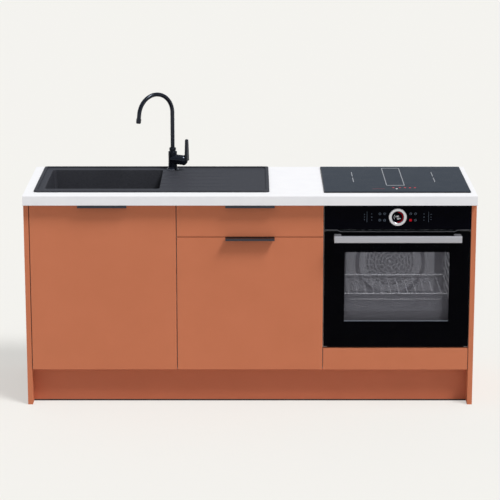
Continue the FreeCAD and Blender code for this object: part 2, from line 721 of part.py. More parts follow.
def bowl_form(grow, floor_z, floor_round):
    """Tapered bowl with a rounded floor, grown sideways by a wall thickness."""
    low = BOWL_TAPER - grow
    mouth = rounded_outline(bowl_x0 - grow, bowl_x1 + grow, bowl_y0 - grow, bowl_y1 + grow,
                            deck_z, BOWL_CORNER + grow)
    floor = rounded_outline(bowl_x0 + low, bowl_x1 - low, bowl_y0 + low, bowl_y1 - low,
                            floor_z, BOWL_CORNER + grow)
    form = Part.makeLoft([mouth, floor], True, True)
    return form.makeFillet(floor_round, level_edges(form, floor_z))


def build_sink():
    """Composite sink: raised edge, bowl, drainer grooves, and holes for the waste and the tap."""
    plate = rounded_block(sink_x0, sink_x1, sink_y0, sink_y1, top_z, top_z + SINK_RIM_HEIGHT,
                          SINK_CORNER, Z_AXIS)
    upper = [edge for edge in plate.Edges if edge.BoundBox.ZMin > top_z + SINK_RIM_HEIGHT / 2]
    plate = plate.makeFillet(SINK_RIM_ROUND, upper)
    skirt = rounded_block(sink_x0 + SINK_SEAT, sink_x1 - SINK_SEAT, sink_y0 + SINK_SEAT, sink_y1 - SINK_SEAT,
                          top_z - SINK_SKIRT, top_z, SINK_CORNER, Z_AXIS)
    outer_bowl = bowl_form(BOWL_WALL, bowl_floor_z - BOWL_WALL, BOWL_FLOOR_ROUND + BOWL_WALL)
    recess = rounded_block(sink_x0 + SINK_RIM_WIDTH, sink_x1 - SINK_RIM_WIDTH,
                           sink_y0 + SINK_RIM_WIDTH, sink_y1 - SINK_RIM_WIDTH,
                           deck_z, top_z + SINK_RIM_HEIGHT, SINK_CORNER, Z_AXIS)
    sink = fused([plate, skirt, outer_bowl]).cut(recess)
    sink = sink.cut(bowl_form(0, bowl_floor_z, BOWL_FLOOR_ROUND))
    mouth_x0 = bowl_x0 - BOWL_WALL
    mouth_x1 = bowl_x1 + BOWL_WALL
    level = level_edges(sink, deck_z)
    lip = [edge for edge in level if mouth_x0 < edge.BoundBox.XMin and edge.BoundBox.XMax < mouth_x1]
    sink = sink.makeFillet(BOWL_LIP_ROUND, lip)
    first_y = sink_y0 + GROOVE_FRONT_INSET
    pitch = (sink_y1 - GROOVE_BACK_INSET - first_y) / (GROOVE_COUNT - 1)
    groove_x = bowl_x1 - BOWL_WALL
    for index in range(GROOVE_COUNT):
        y = first_y + index * pitch
        low = V(groove_x, y, deck_z + GROOVE_RADIUS - GROOVE_DEPTH)
        high = V(groove_x + GROOVE_LENGTH, y, deck_z + GROOVE_RADIUS)
        sink = sink.cut(rod(GROOVE_RADIUS, low, high))
    waste = rod(WASTE_HOLE_RADIUS, V(waste_x, waste_y, bowl_floor_z - 2 * BOWL_WALL),
                V(waste_x, waste_y, deck_z))
    shank = rod(TAP_SHANK_RADIUS + TAP_HOLE_GAP, V(tap_x, tap_y, carcass_top_z), V(tap_x, tap_y, deck_z))
    parts["sink"] = sink.cut(waste).cut(shank)


def build_waste():
    """Basket-strainer waste, its lift-out basket and the bottle trap below."""
    base = V(waste_x, waste_y, bowl_floor_z)
    pot = WASTE_HOLE_RADIUS - WASTE_HOLE_GAP
    pot_inside = pot - WASTE_WALL
    tail_inside = WASTE_TAIL_RADIUS - WASTE_WALL
    pot_z = -WASTE_POT_DEPTH
    tail_z = pot_z - WASTE_TAIL_LENGTH
    profile = [(pot, 0), (WASTE_FLANGE_RADIUS, 0), (WASTE_FLANGE_RADIUS, WASTE_FLANGE / 2),
               (WASTE_FLANGE_RADIUS - WASTE_FLANGE, WASTE_FLANGE), (pot_inside, WASTE_FLANGE),
               (pot_inside, pot_z + WASTE_WALL), (tail_inside, pot_z + WASTE_WALL), (tail_inside, tail_z),
               (WASTE_TAIL_RADIUS, tail_z), (WASTE_TAIL_RADIUS, pot_z), (pot, pot_z)]
    parts["sink_waste"] = turned(profile, base, Z_AXIS)

    rim = WASTE_FLANGE_RADIUS - 2 * WASTE_FLANGE
    cup = pot_inside - BASKET_GAP
    seat = WASTE_FLANGE + BASKET_GAP
    profile = [(0, seat - BASKET_DEPTH), (cup, seat - BASKET_DEPTH), (cup, seat), (rim, seat),
               (rim, seat + BASKET_WALL), (cup - BASKET_WALL, seat + BASKET_WALL),
               (cup - BASKET_WALL, seat - BASKET_DEPTH + BASKET_WALL),
               (BASKET_KNOB_RADIUS / 2, seat - BASKET_DEPTH + BASKET_WALL), (BASKET_KNOB_RADIUS / 2, seat),
               (BASKET_KNOB_RADIUS, seat), (BASKET_KNOB_RADIUS, seat + BASKET_KNOB_RISE),
               (0, seat + BASKET_KNOB_RISE)]
    basket = turned(profile, base, Z_AXIS)
    holes = []
    for ring_radius in (BASKET_INNER_RING, BASKET_OUTER_RING):
        for index in range(BASKET_HOLES):
            angle = 2 * math.pi * index / BASKET_HOLES
            spot = base + V(ring_radius * math.cos(angle), ring_radius * math.sin(angle), seat - BASKET_DEPTH)
            holes.append(Part.makeCylinder(BASKET_HOLE_RADIUS, BASKET_WALL, spot))
    parts["strainer_basket"] = basket.cut(Part.makeCompound(holes))

    collar_top = tail_z + TRAP_COLLAR_LENGTH / 2
    collar_bottom = tail_z - TRAP_COLLAR_LENGTH / 2
    bottle_top = collar_bottom - TRAP_WALL
    bottle_bottom = bottle_top - TRAP_BOTTLE_LENGTH
    sleeve = WASTE_TAIL_RADIUS + PIN_FIT
    inside = TRAP_BOTTLE_RADIUS - TRAP_WALL
    profile = [(sleeve, collar_top), (TRAP_COLLAR_RADIUS, collar_top), (TRAP_COLLAR_RADIUS, collar_bottom),
               (TRAP_BOTTLE_RADIUS, bottle_top - TRAP_WALL), (TRAP_BOTTLE_RADIUS, bottle_bottom + TRAP_WALL),
               (inside, bottle_bottom), (0, bottle_bottom), (0, bottle_bottom + TRAP_WALL),
               (inside, bottle_bottom + 2 * TRAP_WALL), (inside, bottle_top - TRAP_WALL),
               (sleeve, bottle_top)]
    bottle = turned(profile, base, Z_AXIS)
    outlet_z = base.z + bottle_top - TRAP_OUTLET_DROP - TRAP_OUTLET_RADIUS
    end = V(waste_x, carcass_back_y - TRAP_OUTLET_TRIM, outlet_z)
    bore_start = V(waste_x, waste_y, outlet_z)
    nut_end = bore_start + Y_AXIS * (TRAP_BOTTLE_RADIUS + TRAP_NUT_LENGTH)
    pipe_start = nut_end + Y_AXIS * TRAP_NUT_RELIEF
    outlet = fused([rod(TRAP_NUT_RADIUS, bore_start, nut_end),
                    rod(TRAP_OUTLET_RADIUS - TRAP_NUT_RELIEF, nut_end, pipe_start),
                    rod(TRAP_OUTLET_RADIUS, pipe_start, end)])
    outlet = outlet.cut(rod(inside, base + V(0, 0, bottle_bottom), base))
    trap = fused([bottle, outlet])
    parts["bottle_trap"] = trap.cut(rod(TRAP_OUTLET_RADIUS - TRAP_WALL, bore_start, end))


def plan_direction(degrees):
    """Level unit vector at an angle from +X."""
    angle = math.radians(degrees)
    return V(math.cos(angle), math.sin(angle), 0)


def spout_pipe():
    """Spout above the tap's axis on the deck: straight up, round the bend and down to the outlet."""
    out = plan_direction(SPOUT_TURN)
    bend_start = Z_AXIS * SPOUT_STRAIGHT
    centre = bend_start + out * SPOUT_BEND
    sweep = math.radians(SPOUT_SWEEP)
    fall = out * math.sin(sweep) + Z_AXIS * math.cos(sweep)
    bend_end = centre - out * (SPOUT_BEND * math.cos(sweep)) + Z_AXIS * (SPOUT_BEND * math.sin(sweep))
    outlet = bend_end + fall * SPOUT_DROP
    section = Part.Face(Part.Wire([Part.makeCircle(SPOUT_RADIUS, bend_start, Z_AXIS)]))
    bend = section.revolve(centre, Z_AXIS.cross(out), SPOUT_SWEEP)
    riser = rod(SPOUT_RADIUS, Z_AXIS * TAP_BODY_HEIGHT, bend_start)
    return fused([riser, bend, rod(SPOUT_RADIUS, bend_end, outlet)]), outlet, fall


def build_tap():
    """Side-lever mixer: body, swivel spout, aerator, cartridge and lever."""
    base = V(tap_x, tap_y, deck_z)
    axis = plan_direction(LEVER_TURN)
    across = Z_AXIS.cross(axis)
    ring_top = TAP_RING
    shank_z = carcass_top_z + TAP_SHANK_LIFT - deck_z
    stem_hole = STEM_RADIUS + RUNNING_FIT
    ring_hole = TAP_SHANK_RADIUS + TAP_HOLE_GAP
    parts["tap_base_ring"] = turned([(ring_hole, 0), (TAP_BASE_RADIUS, 0), (TAP_BASE_RADIUS, ring_top / 2),
                                     (TAP_BASE_RADIUS - ring_top / 2, ring_top), (ring_hole, ring_top)],
                                    base, Z_AXIS)
    stem_z = TAP_BODY_HEIGHT - STEM_LENGTH
    profile = [(0, shank_z), (TAP_SHANK_RADIUS, shank_z), (TAP_SHANK_RADIUS, ring_top),
               (TAP_BASE_RADIUS - ring_top, ring_top), (TAP_BODY_RADIUS, 3 * ring_top),
               (TAP_BODY_RADIUS, TAP_BODY_HEIGHT - ring_top / 2),
               (TAP_BODY_RADIUS - ring_top / 2, TAP_BODY_HEIGHT), (stem_hole, TAP_BODY_HEIGHT),
               (stem_hole, stem_z), (0, stem_z)]
    body = turned(profile, base, Z_AXIS)
    centre = base + Z_AXIS * HOUSING_RISE + axis * HOUSING_REACH
    stem_room = rod(stem_hole, base + Z_AXIS * stem_z, base + Z_AXIS * TAP_BODY_HEIGHT)
    housing = rod(HOUSING_RADIUS, base + Z_AXIS * HOUSING_RISE, centre)
    dome = Part.makeSphere(HOUSING_RADIUS, centre)
    socket = rod(CARTRIDGE_RADIUS + RUNNING_FIT, centre - axis * CARTRIDGE_DEPTH,
                 centre + axis * HOUSING_RADIUS)
    inlets = [rod(TAP_INLET_RADIUS, base + V(0, y, shank_z), base + V(0, y, shank_z + TAP_INLET_DEPTH))
              for y in (-TAP_INLET_SPACING / 2, TAP_INLET_SPACING / 2)]
    body = fused([body, housing, dome]).cut(stem_room)
    parts["tap_body"] = body.cut(socket).cut(Part.makeCompound(inlets))

    nut_z = top_z - SINK_SKIRT - deck_z
    nut = turned([(TAP_SHANK_RADIUS + PIN_FIT, nut_z - TAP_NUT), (TAP_NUT_RADIUS, nut_z - TAP_NUT),
                  (TAP_NUT_RADIUS, nut_z), (TAP_SHANK_RADIUS + PIN_FIT, nut_z)], base, Z_AXIS)
    parts["tap_fixing_nut"] = nut

    pipe, outlet, fall = spout_pipe()
    start = Z_AXIS * TAP_BODY_HEIGHT
    collar = turned([(0, DOME_GAP), (COLLAR_NECK_RADIUS, DOME_GAP), (COLLAR_NECK_RADIUS, COLLAR_NECK),
                     (COLLAR_RADIUS, COLLAR_NECK), (COLLAR_RADIUS, COLLAR_HEIGHT - ring_top / 2),
                     (COLLAR_RADIUS - ring_top / 2, COLLAR_HEIGHT), (0, COLLAR_HEIGHT)], start, Z_AXIS)
    stem = rod(STEM_RADIUS, Z_AXIS * (stem_z + DOME_GAP), start + Z_AXIS * DOME_GAP)
    parts["tap_spout"] = fused([pipe, collar, stem]).translated(base)
    profile = [(SPOUT_BORE, 0), (AERATOR_RADIUS, 0), (AERATOR_RADIUS, AERATOR_LENGTH - ring_top),
               (SPOUT_RADIUS, AERATOR_LENGTH), (SPOUT_BORE, AERATOR_LENGTH)]
    parts["tap_aerator"] = turned(profile, base + outlet, fall)
    return centre, axis, across


def lever_blade(x):
    """Upright paddle that tapers to a round tip, its edges softened, from a plane at x."""
    root = LEVER_ROOT_WIDTH / 2
    tip = LEVER_TIP_WIDTH / 2
    tip_z = LEVER_RISE - tip
    lean = math.acos(tip / math.hypot(root, tip_z)) - math.atan2(tip_z, root)
    side_y = tip * math.cos(lean)
    side_z = tip_z + tip * math.sin(lean)
    arc = Part.Arc(V(x, side_y, side_z), V(x, 0, LEVER_RISE), V(x, -side_y, side_z)).toShape()
    corners = [V(x, -side_y, side_z), V(x, -root, 0), V(x, root, 0), V(x, side_y, side_z)]
    outline = [Part.makeLine(*ends) for ends in zip(corners, corners[1:])] + [arc]
    blade = Part.Face(Part.Wire(outline)).extrude(V(LEVER_BLADE, 0, 0))
    rims = [edge for edge in blade.Edges if edge.BoundBox.XLength < SAME_PLACE < edge.BoundBox.ZLength]
    return blade.makeFillet(LEVER_BLADE_ROUND, rims)


def build_lever(centre, axis, across):
    """Cartridge head that turns for heat, and the lever that tilts on its pin for flow."""
    def along(distance):
        return centre + axis * distance

    slot_width = LEVER_EYE_WIDTH + 2 * LEVER_SLOT_GAP
    head = rod(CARTRIDGE_RADIUS, along(DOME_GAP - CARTRIDGE_DEPTH), along(CARTRIDGE_HEAD))
    turn = FreeCAD.Placement(centre, FreeCAD.Rotation(Z_AXIS, LEVER_TURN))
    slot = Part.makeBox(CARTRIDGE_RADIUS + LEVER_EYE_RADIUS, slot_width, 2 * CARTRIDGE_RADIUS,
                        V(-LEVER_EYE_RADIUS - LEVER_SLOT_GAP, -slot_width / 2, -CARTRIDGE_RADIUS))
    slot.Placement = turn
    reach = math.sqrt(CARTRIDGE_RADIUS ** 2 - LEVER_PIN_RADIUS ** 2)
    pin = rod(LEVER_PIN_RADIUS, centre - across * reach, centre + across * reach)
    parts["tap_cartridge"] = fused([head.cut(slot), pin])

    inner = HOUSING_RADIUS + DOME_GAP
    cap = Part.makeSphere(LEVER_CAP_RADIUS, centre).cut(Part.makeSphere(inner, centre))
    keep = Part.makeBox(LEVER_CAP_RADIUS, 2 * LEVER_CAP_RADIUS, 2 * LEVER_CAP_RADIUS,
                        V(LEVER_CAP_START, -LEVER_CAP_RADIUS, -LEVER_CAP_RADIUS))
    keep.Placement = turn
    cap = cap.common(keep)
    half_eye = across * (LEVER_EYE_WIDTH / 2)
    eye = rod(LEVER_EYE_RADIUS, centre - half_eye, centre + half_eye)
    stem = rod(LEVER_STEM_RADIUS, centre, along(inner + DOME_GAP))
    blade = lever_blade((inner + LEVER_CAP_RADIUS - LEVER_BLADE) / 2)
    blade.Placement = turn
    blade = blade.cut(Part.makeSphere(inner, centre))
    bore = rod(LEVER_PIN_RADIUS + RUNNING_FIT, centre - half_eye * 2, centre + half_eye * 2)
    parts["tap_lever"] = fused([cap, blade, stem, eye]).cut(bore)


# Hob outline, shared with the worktop cut-out
hob_x0 = oven_x + HOB_SIDE_MARGIN
hob_x1 = end_x - HOB_SIDE_MARGIN
hob_y0 = top_front_y + HOB_FRONT_MARGIN
hob_y1 = back_y - HOB_BACK_MARGIN


def build_hob():
    """Glass hob with its steel pan and four coils."""
    glass = rounded_block(hob_x0, hob_x1, hob_y0, hob_y1, top_z, top_z + HOB_GLASS, HOB_CORNER, Z_AXIS)
    upper = [edge for edge in glass.Edges if edge.BoundBox.ZMin > top_z + HOB_GLASS / 2]
    parts["hob_glass"] = glass.makeChamfer(HOB_BEVEL, upper)
    inset = HOB_SEAT + CUT_OUT_GAP
    bottom_z = carcass_top_z + HOB_BOTTOM_GAP
    pan = rounded_block(hob_x0 + inset, hob_x1 - inset, hob_y0 + inset, hob_y1 - inset,
                        bottom_z, top_z, HOB_CORNER, Z_AXIS)
    coil_z = top_z - COIL_THICKNESS
    hollow = rounded_block(hob_x0 + inset + HOB_SHEET, hob_x1 - inset - HOB_SHEET,
                           hob_y0 + inset + HOB_SHEET, hob_y1 - inset - HOB_SHEET,
                           coil_z, top_z, HOB_CORNER - HOB_SHEET, Z_AXIS)
    parts["hob_casing"] = pan.cut(hollow)
    coils = []
    width = hob_x1 - hob_x0
    depth = hob_y1 - hob_y0
    pitch = (COIL_RADIUS - COIL_EYE_RADIUS) / COIL_TURNS
    for column in (1, 3):
        for row in (1, 3):
            spot = V(hob_x0 + width * column / 4, hob_y0 + depth * row / 4, coil_z)
            profile = [(COIL_EYE_RADIUS, 0), (COIL_RADIUS, 0), (COIL_RADIUS, COIL_THICKNESS)]
            for turn in range(COIL_TURNS - 1, 0, -1):
                groove = COIL_EYE_RADIUS + turn * pitch
                far = groove + COIL_GROOVE
                near = groove - COIL_GROOVE
                profile += [(far, COIL_THICKNESS), (far, COIL_THICKNESS / 2),
                            (near, COIL_THICKNESS / 2), (near, COIL_THICKNESS)]
            profile.append((COIL_EYE_RADIUS, COIL_THICKNESS))
            coils.append(turned(profile, spot, Z_AXIS))
    parts["hob_coils"] = Part.makeCompound(coils)


def build_worktop():
    """Worktop with a softened front edge and cut-outs for the sink and the hob."""
    top = box(-half_width, half_width, top_front_y, back_y, carcass_top_z, top_z)
    front = [edge for edge in edges_along(top, X_AXIS) if edge.BoundBox.YMax < top_front_y + WORKTOP_EDGE]
    top = top.makeFillet(WORKTOP_EDGE, front)
    inset = SINK_SEAT - CUT_OUT_GAP
    sink_hole = rounded_block(sink_x0 + inset, sink_x1 - inset, sink_y0 + inset, sink_y1 - inset,
                              carcass_top_z, top_z, CUT_OUT_CORNER, Z_AXIS)
    hob_hole = rounded_block(hob_x0 + HOB_SEAT, hob_x1 - HOB_SEAT, hob_y0 + HOB_SEAT, hob_y1 - HOB_SEAT,
                             carcass_top_z, top_z, HOB_CORNER, Z_AXIS)
    parts["worktop"] = top.cut(sink_hole).cut(hob_hole)


# Oven planes
oven_mid_x = (oven_x + end_x) / 2
oven_shelf_z = carcass_z + OVEN_SHELF_RISE
oven_face_x0 = oven_x + OVEN_FACE_GAP
oven_face_x1 = end_x - OVEN_FACE_GAP
casing_x0 = oven_x + BOARD + OVEN_SIDE_CLEARANCE
casing_x1 = end_x - BOARD - OVEN_SIDE_CLEARANCE
casing_top_z = carcass_top_z - OVEN_TOP_CLEARANCE
casing_y = carcass_y + OVEN_CASING_LIP
casing_back_y = carcass_back_y - OVEN_BACK_CLEARANCE
frame_y = carcass_y + OVEN_FRONT_SET_BACK
panel_top_z = carcass_top_z - PANEL_TOP_GAP
panel_z = panel_top_z - PANEL_HEIGHT
door_z = oven_shelf_z - DOOR_DROP
door_top_z = panel_z - PANEL_DOOR_GAP
cavity_x0 = casing_x0 + CAVITY_SIDE_INSULATION
cavity_x1 = casing_x1 - CAVITY_SIDE_INSULATION
cavity_z0 = oven_shelf_z + CAVITY_FLOOR_RISE
cavity_z1 = door_top_z - CAVITY_TOP_DROP
cavity_mid_z = (cavity_z0 + cavity_z1) / 2
cavity_y = frame_y + OVEN_SHEET
cavity_back_y = casing_back_y - FAN_BAY
fan_cover_y = cavity_back_y - FAN_COVER_STAND_OFF
fan_base = V(oven_mid_x, cavity_back_y, cavity_mid_z)


def build_oven_housing():
    """Oven casing with its front frame, enamelled cavity and door seal."""
    sheet = OVEN_SHEET
    casing = box(casing_x0, casing_x1, casing_y, casing_back_y, oven_shelf_z, casing_top_z)
    casing = casing.cut(box(casing_x0 + sheet, casing_x1 - sheet, casing_y, casing_back_y - sheet,
                            oven_shelf_z + sheet, casing_top_z - sheet))
    mouth = rounded_block(cavity_x0, cavity_x1, frame_y - sheet, cavity_y, cavity_z0, cavity_z1,
                          CAVITY_CORNER, Y_AXIS)
    frame = box(casing_x0 + sheet, casing_x1 - sheet, frame_y, cavity_y, oven_shelf_z + sheet,
                casing_top_z - sheet).cut(mouth)
    parts["oven_casing"] = Part.makeCompound([casing, frame])

    liner = rounded_block(cavity_x0 - sheet, cavity_x1 + sheet, cavity_y, cavity_back_y + sheet,
                          cavity_z0 - sheet, cavity_z1 + sheet, CAVITY_CORNER + sheet, Y_AXIS)
    flange = rounded_block(cavity_x0 - CAVITY_FLANGE, cavity_x1 + CAVITY_FLANGE, cavity_y, cavity_y + sheet,
                           cavity_z0 - CAVITY_FLANGE, cavity_z1 + CAVITY_FLANGE, CAVITY_CORNER, Y_AXIS)
    hollow = rounded_block(cavity_x0, cavity_x1, cavity_y, cavity_back_y, cavity_z0, cavity_z1,
                           CAVITY_CORNER, Y_AXIS)
    holes = [rod(FAN_SHAFT_HOLE, fan_base, fan_base + Y_AXIS * sheet)]
    for offset in terminal_offsets():
        spot = fan_base + offset
        holes.append(rod(ELEMENT_ROD + TERMINAL_GAP, spot, spot + Y_AXIS * sheet))
    parts["oven_cavity"] = fused([liner, flange]).cut(hollow).cut(Part.makeCompound(holes))

    outer = rounded_block(cavity_x0 - SEAL_OFFSET - SEAL_RADIUS, cavity_x1 + SEAL_OFFSET + SEAL_RADIUS,
                          frame_y - 2 * SEAL_RADIUS, frame_y,
                          cavity_z0 - SEAL_OFFSET - SEAL_RADIUS, cavity_z1 + SEAL_OFFSET + SEAL_RADIUS,
                          CAVITY_CORNER + SEAL_RADIUS, Y_AXIS)
    inner = rounded_block(cavity_x0 - SEAL_OFFSET + SEAL_RADIUS, cavity_x1 + SEAL_OFFSET - SEAL_RADIUS,
                          frame_y - 2 * SEAL_RADIUS, frame_y,
                          cavity_z0 - SEAL_OFFSET + SEAL_RADIUS, cavity_z1 + SEAL_OFFSET - SEAL_RADIUS,
                          CAVITY_CORNER, Y_AXIS)
    seal = outer.cut(inner)
    nose = [edge for edge in seal.Edges if edge.BoundBox.YMax < frame_y - SEAL_RADIUS]
    parts["oven_door_seal"] = seal.makeFillet(SEAL_NOSE, nose)


def terminal_offsets():
    """Where the ring element's two ends pass through the back of the cavity, from the fan axis."""
    drop = math.sqrt(ELEMENT_RADIUS ** 2 - (TERMINAL_SPACING / 2) ** 2)
    return [V(x, 0, -drop) for x in (-TERMINAL_SPACING / 2, TERMINAL_SPACING / 2)]


def arc_slot(radius, start, end):
    """Curved slot along a circle about the fan axis, cut through the fan cover."""
    def spot(distance, angle):
        across = distance * math.cos(angle)
        up = distance * math.sin(angle)
        return V(oven_mid_x + across, fan_cover_y, cavity_mid_z + up)

    near = radius - FAN_SLOT_WIDTH / 2
    far = radius + FAN_SLOT_WIDTH / 2
    middle = (start + end) / 2
    outer = Part.Arc(spot(far, start), spot(far, middle), spot(far, end)).toShape()
    inner = Part.Arc(spot(near, end), spot(near, middle), spot(near, start)).toShape()
    first = Part.makeLine(spot(far, end), spot(near, end))
    last = Part.makeLine(spot(near, start), spot(far, start))
    face = Part.Face(Part.Wire([outer, first, inner, last]))
    return face.extrude(V(0, FAN_COVER_SHEET, 0))


def build_fan():
    """Slotted fan cover, fan wheel on its shaft, motor and ring element."""
    x0 = cavity_x0 + FAN_COVER_SIDE_MARGIN
    x1 = cavity_x1 - FAN_COVER_SIDE_MARGIN
    z0 = cavity_z0 + FAN_COVER_TOP_MARGIN
    z1 = cavity_z1 - FAN_COVER_TOP_MARGIN
    sheet = FAN_COVER_SHEET
    cover = rounded_block(x0, x1, fan_cover_y, cavity_back_y, z0, z1, FAN_COVER_CORNER, Y_AXIS)
    cover = cover.cut(rounded_block(x0 + sheet, x1 - sheet, fan_cover_y + sheet, cavity_back_y,
                                    z0 + sheet, z1 - sheet, FAN_COVER_CORNER - sheet, Y_AXIS))
    corner = 2 * FAN_COVER_CORNER
    vent_y0 = fan_cover_y + FAN_COVER_STAND_OFF / 4
    vent_y1 = cavity_back_y - FAN_COVER_STAND_OFF / 4
    vents = [box(x0, x1, vent_y0, vent_y1, z0 + corner, z1 - corner)]
    slots = []
    for ring in range(FAN_SLOT_RINGS):
        radius = FAN_SLOT_FIRST_RADIUS + ring * FAN_SLOT_PITCH
        count = max(2, round(2 * math.pi * radius / FAN_SLOT_SPAN))
        span = 2 * math.pi / count
        trim = FAN_SLOT_BRIDGE / radius / 2
        for index in range(count):
            turn = (index + ring % 2 / 2) * span
            slots.append(arc_slot(radius, turn + trim, turn + span - trim))
    cover = cover.cut(Part.makeCompound(vents)).cut(Part.makeCompound(slots))
    half = FAN_BAND_WIDTH / 2
    band = turned([(FAN_BAND_RADIUS - half, 0), (FAN_BAND_RADIUS + half, 0),
                   (FAN_BAND_RADIUS + half - FAN_BAND_HEIGHT, FAN_BAND_HEIGHT),
                   (FAN_BAND_RADIUS - half + FAN_BAND_HEIGHT, FAN_BAND_HEIGHT)],
                  V(oven_mid_x, fan_cover_y, cavity_mid_z), V(0, -1, 0))
    parts["oven_fan_cover"] = fused([cover, band])

    wheel_y = -FAN_WHEEL_GAP
    front_y = wheel_y - FAN_BLADE_DEPTH
    disc = turned([(0, 0), (FAN_WHEEL_RADIUS, 0), (FAN_WHEEL_RADIUS, FAN_BLADE_SHEET), (0, FAN_BLADE_SHEET)],
                  fan_base + V(0, wheel_y, 0), V(0, -1, 0))
    hub = rod(FAN_HUB_RADIUS, fan_base + V(0, wheel_y, 0), fan_base + V(0, front_y, 0))
    blades = []
    for index in range(FAN_BLADES):
        blade = Part.makeBox(FAN_WHEEL_RADIUS - 2 * FAN_HUB_RADIUS, FAN_BLADE_DEPTH, FAN_BLADE_SHEET,
                             V(2 * FAN_HUB_RADIUS, front_y, 0))
        blade.rotate(V(2 * FAN_HUB_RADIUS, 0, 0), Y_AXIS, FAN_BLADE_ANGLE)
        blade.rotate(V(0, 0, 0), Y_AXIS, index * 360 / FAN_BLADES)
        blades.append(blade.translated(fan_base))
    shaft = rod(FAN_SHAFT_RADIUS, fan_base + V(0, front_y, 0), fan_base + V(0, FAN_MOTOR_LENGTH, 0))
    parts["oven_fan_wheel"] = fused([disc, hub, shaft] + blades)

    back = fan_base + Y_AXIS * OVEN_SHEET
    motor = turned([(0, 0), (MOTOR_PLATE_RADIUS, 0), (MOTOR_PLATE_RADIUS, MOTOR_PLATE),
                    (FAN_MOTOR_RADIUS, MOTOR_PLATE), (FAN_MOTOR_RADIUS, FAN_MOTOR_LENGTH - MOTOR_PLATE),
                    (FAN_MOTOR_RADIUS - MOTOR_PLATE, FAN_MOTOR_LENGTH), (0, FAN_MOTOR_LENGTH)], back, Y_AXIS)
    bore = rod(FAN_SHAFT_RADIUS + RUNNING_FIT, back, back + Y_AXIS * FAN_MOTOR_LENGTH)
    parts["oven_fan_motor"] = motor.cut(bore)

    ring_centre = V(0, -ELEMENT_STAND_OFF, 0)
    ends = [ring_centre + offset for offset in terminal_offsets()]
    opening = 2 * math.asin(TERMINAL_SPACING / 2 / ELEMENT_RADIUS)
    circle = Part.makeCircle(ELEMENT_ROD, ends[1], Y_AXIS.cross(ends[1] - ring_centre))
    section = Part.Face(Part.Wire([circle]))
    pieces = [section.revolve(ring_centre, -Y_AXIS, 360 - math.degrees(opening))]
    for end in ends:
        pieces.append(Part.makeSphere(ELEMENT_ELBOW, end))
        pieces.append(rod(ELEMENT_ROD, end, end + Y_AXIS * (ELEMENT_STAND_OFF + TERMINAL_LENGTH)))
    parts["oven_ring_element"] = fused(pieces).translated(fan_base)


def rack_height(level):
    """Height of a rack rail's centre."""
    return cavity_z0 + RACK_FIRST_RISE + level * RACK_PITCH


def build_oven_inserts():
    """Side racks, wire shelf and baking tray."""
    y0 = cavity_y + RACK_END_INSET
    y1 = fan_cover_y - RACK_END_INSET / 2
    post_x = cavity_x0 + RACK_WALL_GAP + RACK_WIRE
    rail_x = post_x + RACK_BITE
    top = rack_height(RACK_LEVELS - 1) + 2 * RACK_WIRE
    low = rack_height(0) - 2 * RACK_WIRE
    post_ys = (y0 + RACK_END_INSET, y1 - RACK_END_INSET)
    wires = [rod(RACK_WIRE, V(post_x, y, low), V(post_x, y, top)) for y in post_ys]
    for level in range(RACK_LEVELS):
        z = rack_height(level)
        wires.append(rod(RACK_WIRE, V(rail_x, y0, z), V(rail_x, y1, z)))
    parts["oven_side_racks"] = mirrored_pair(fused(wires), oven_mid_x)

    rest = math.sqrt((RACK_WIRE + SHELF_ROD) ** 2 - RACK_WIRE ** 2)
    z = rack_height(SHELF_LEVEL) + rest + RACK_WALL_GAP
    left = rail_x + RACK_WIRE
    right = 2 * oven_mid_x - left
    front = y0
    back = y1 - SHELF_END_GAP
    frame = [
        rod(SHELF_ROD, V(left, front, z), V(left, back, z)),
        rod(SHELF_ROD, V(right, front, z), V(right, back, z)),
        rod(SHELF_ROD, V(left, back, z), V(right, back, z)),
        rod(SHELF_ROD, V(left, front, z), V(right, front, z)),
    ]
    pitch = (right - left) / (SHELF_WIRES + 1)
    low_x = left + pitch
    high_x = right - pitch
    drop_z = z - SHELF_FRONT_DROP
    frame.append(rod(SHELF_ROD, V(low_x, front, drop_z), V(high_x, front, drop_z)))
    for x in (low_x, high_x):
        frame.append(rod(SHELF_ROD, V(x, front, drop_z), V(x, front, z)))
    for index in range(SHELF_WIRES):
        x = left + (index + 1) * pitch
        frame.append(rod(SHELF_WIRE, V(x, front, z), V(x, back, z)))
    for point in (V(left, front, z), V(right, front, z), V(left, back, z), V(right, back, z),
                  V(low_x, front, drop_z), V(high_x, front, drop_z)):
        frame.append(Part.makeSphere(SHELF_ROD, point))
    parts["oven_wire_shelf"] = fused(frame)

    lip_z = rack_height(TRAY_LEVEL) + RACK_WIRE
    body_x0 = rail_x + RACK_WIRE + TRAY_SIDE_GAP
    body_x1 = 2 * oven_mid_x - body_x0
    lip_x0 = post_x + RACK_WIRE + TRAY_LIP_GAP
    lip_x1 = 2 * oven_mid_x - lip_x0
    back = y1 - TRAY_END_GAP
    lip_top = lip_z + TRAY_SHEET
    tray_z = lip_z - TRAY_HEIGHT
    pan = rounded_block(body_x0, body_x1, y0, back, tray_z, lip_top, TRAY_CORNER, Z_AXIS)
    edge_y = RACK_WIRE * 2
    lip = rounded_block(lip_x0, lip_x1, y0 - edge_y, back + edge_y, lip_z, lip_top, TRAY_CORNER, Z_AXIS)
    hollow = rounded_block(body_x0 + TRAY_SHEET, body_x1 - TRAY_SHEET, y0 + TRAY_SHEET, back - TRAY_SHEET,
                           tray_z + TRAY_SHEET, lip_top, TRAY_CORNER - TRAY_SHEET, Z_AXIS)
    parts["oven_tray"] = fused([pan, lip]).cut(hollow)


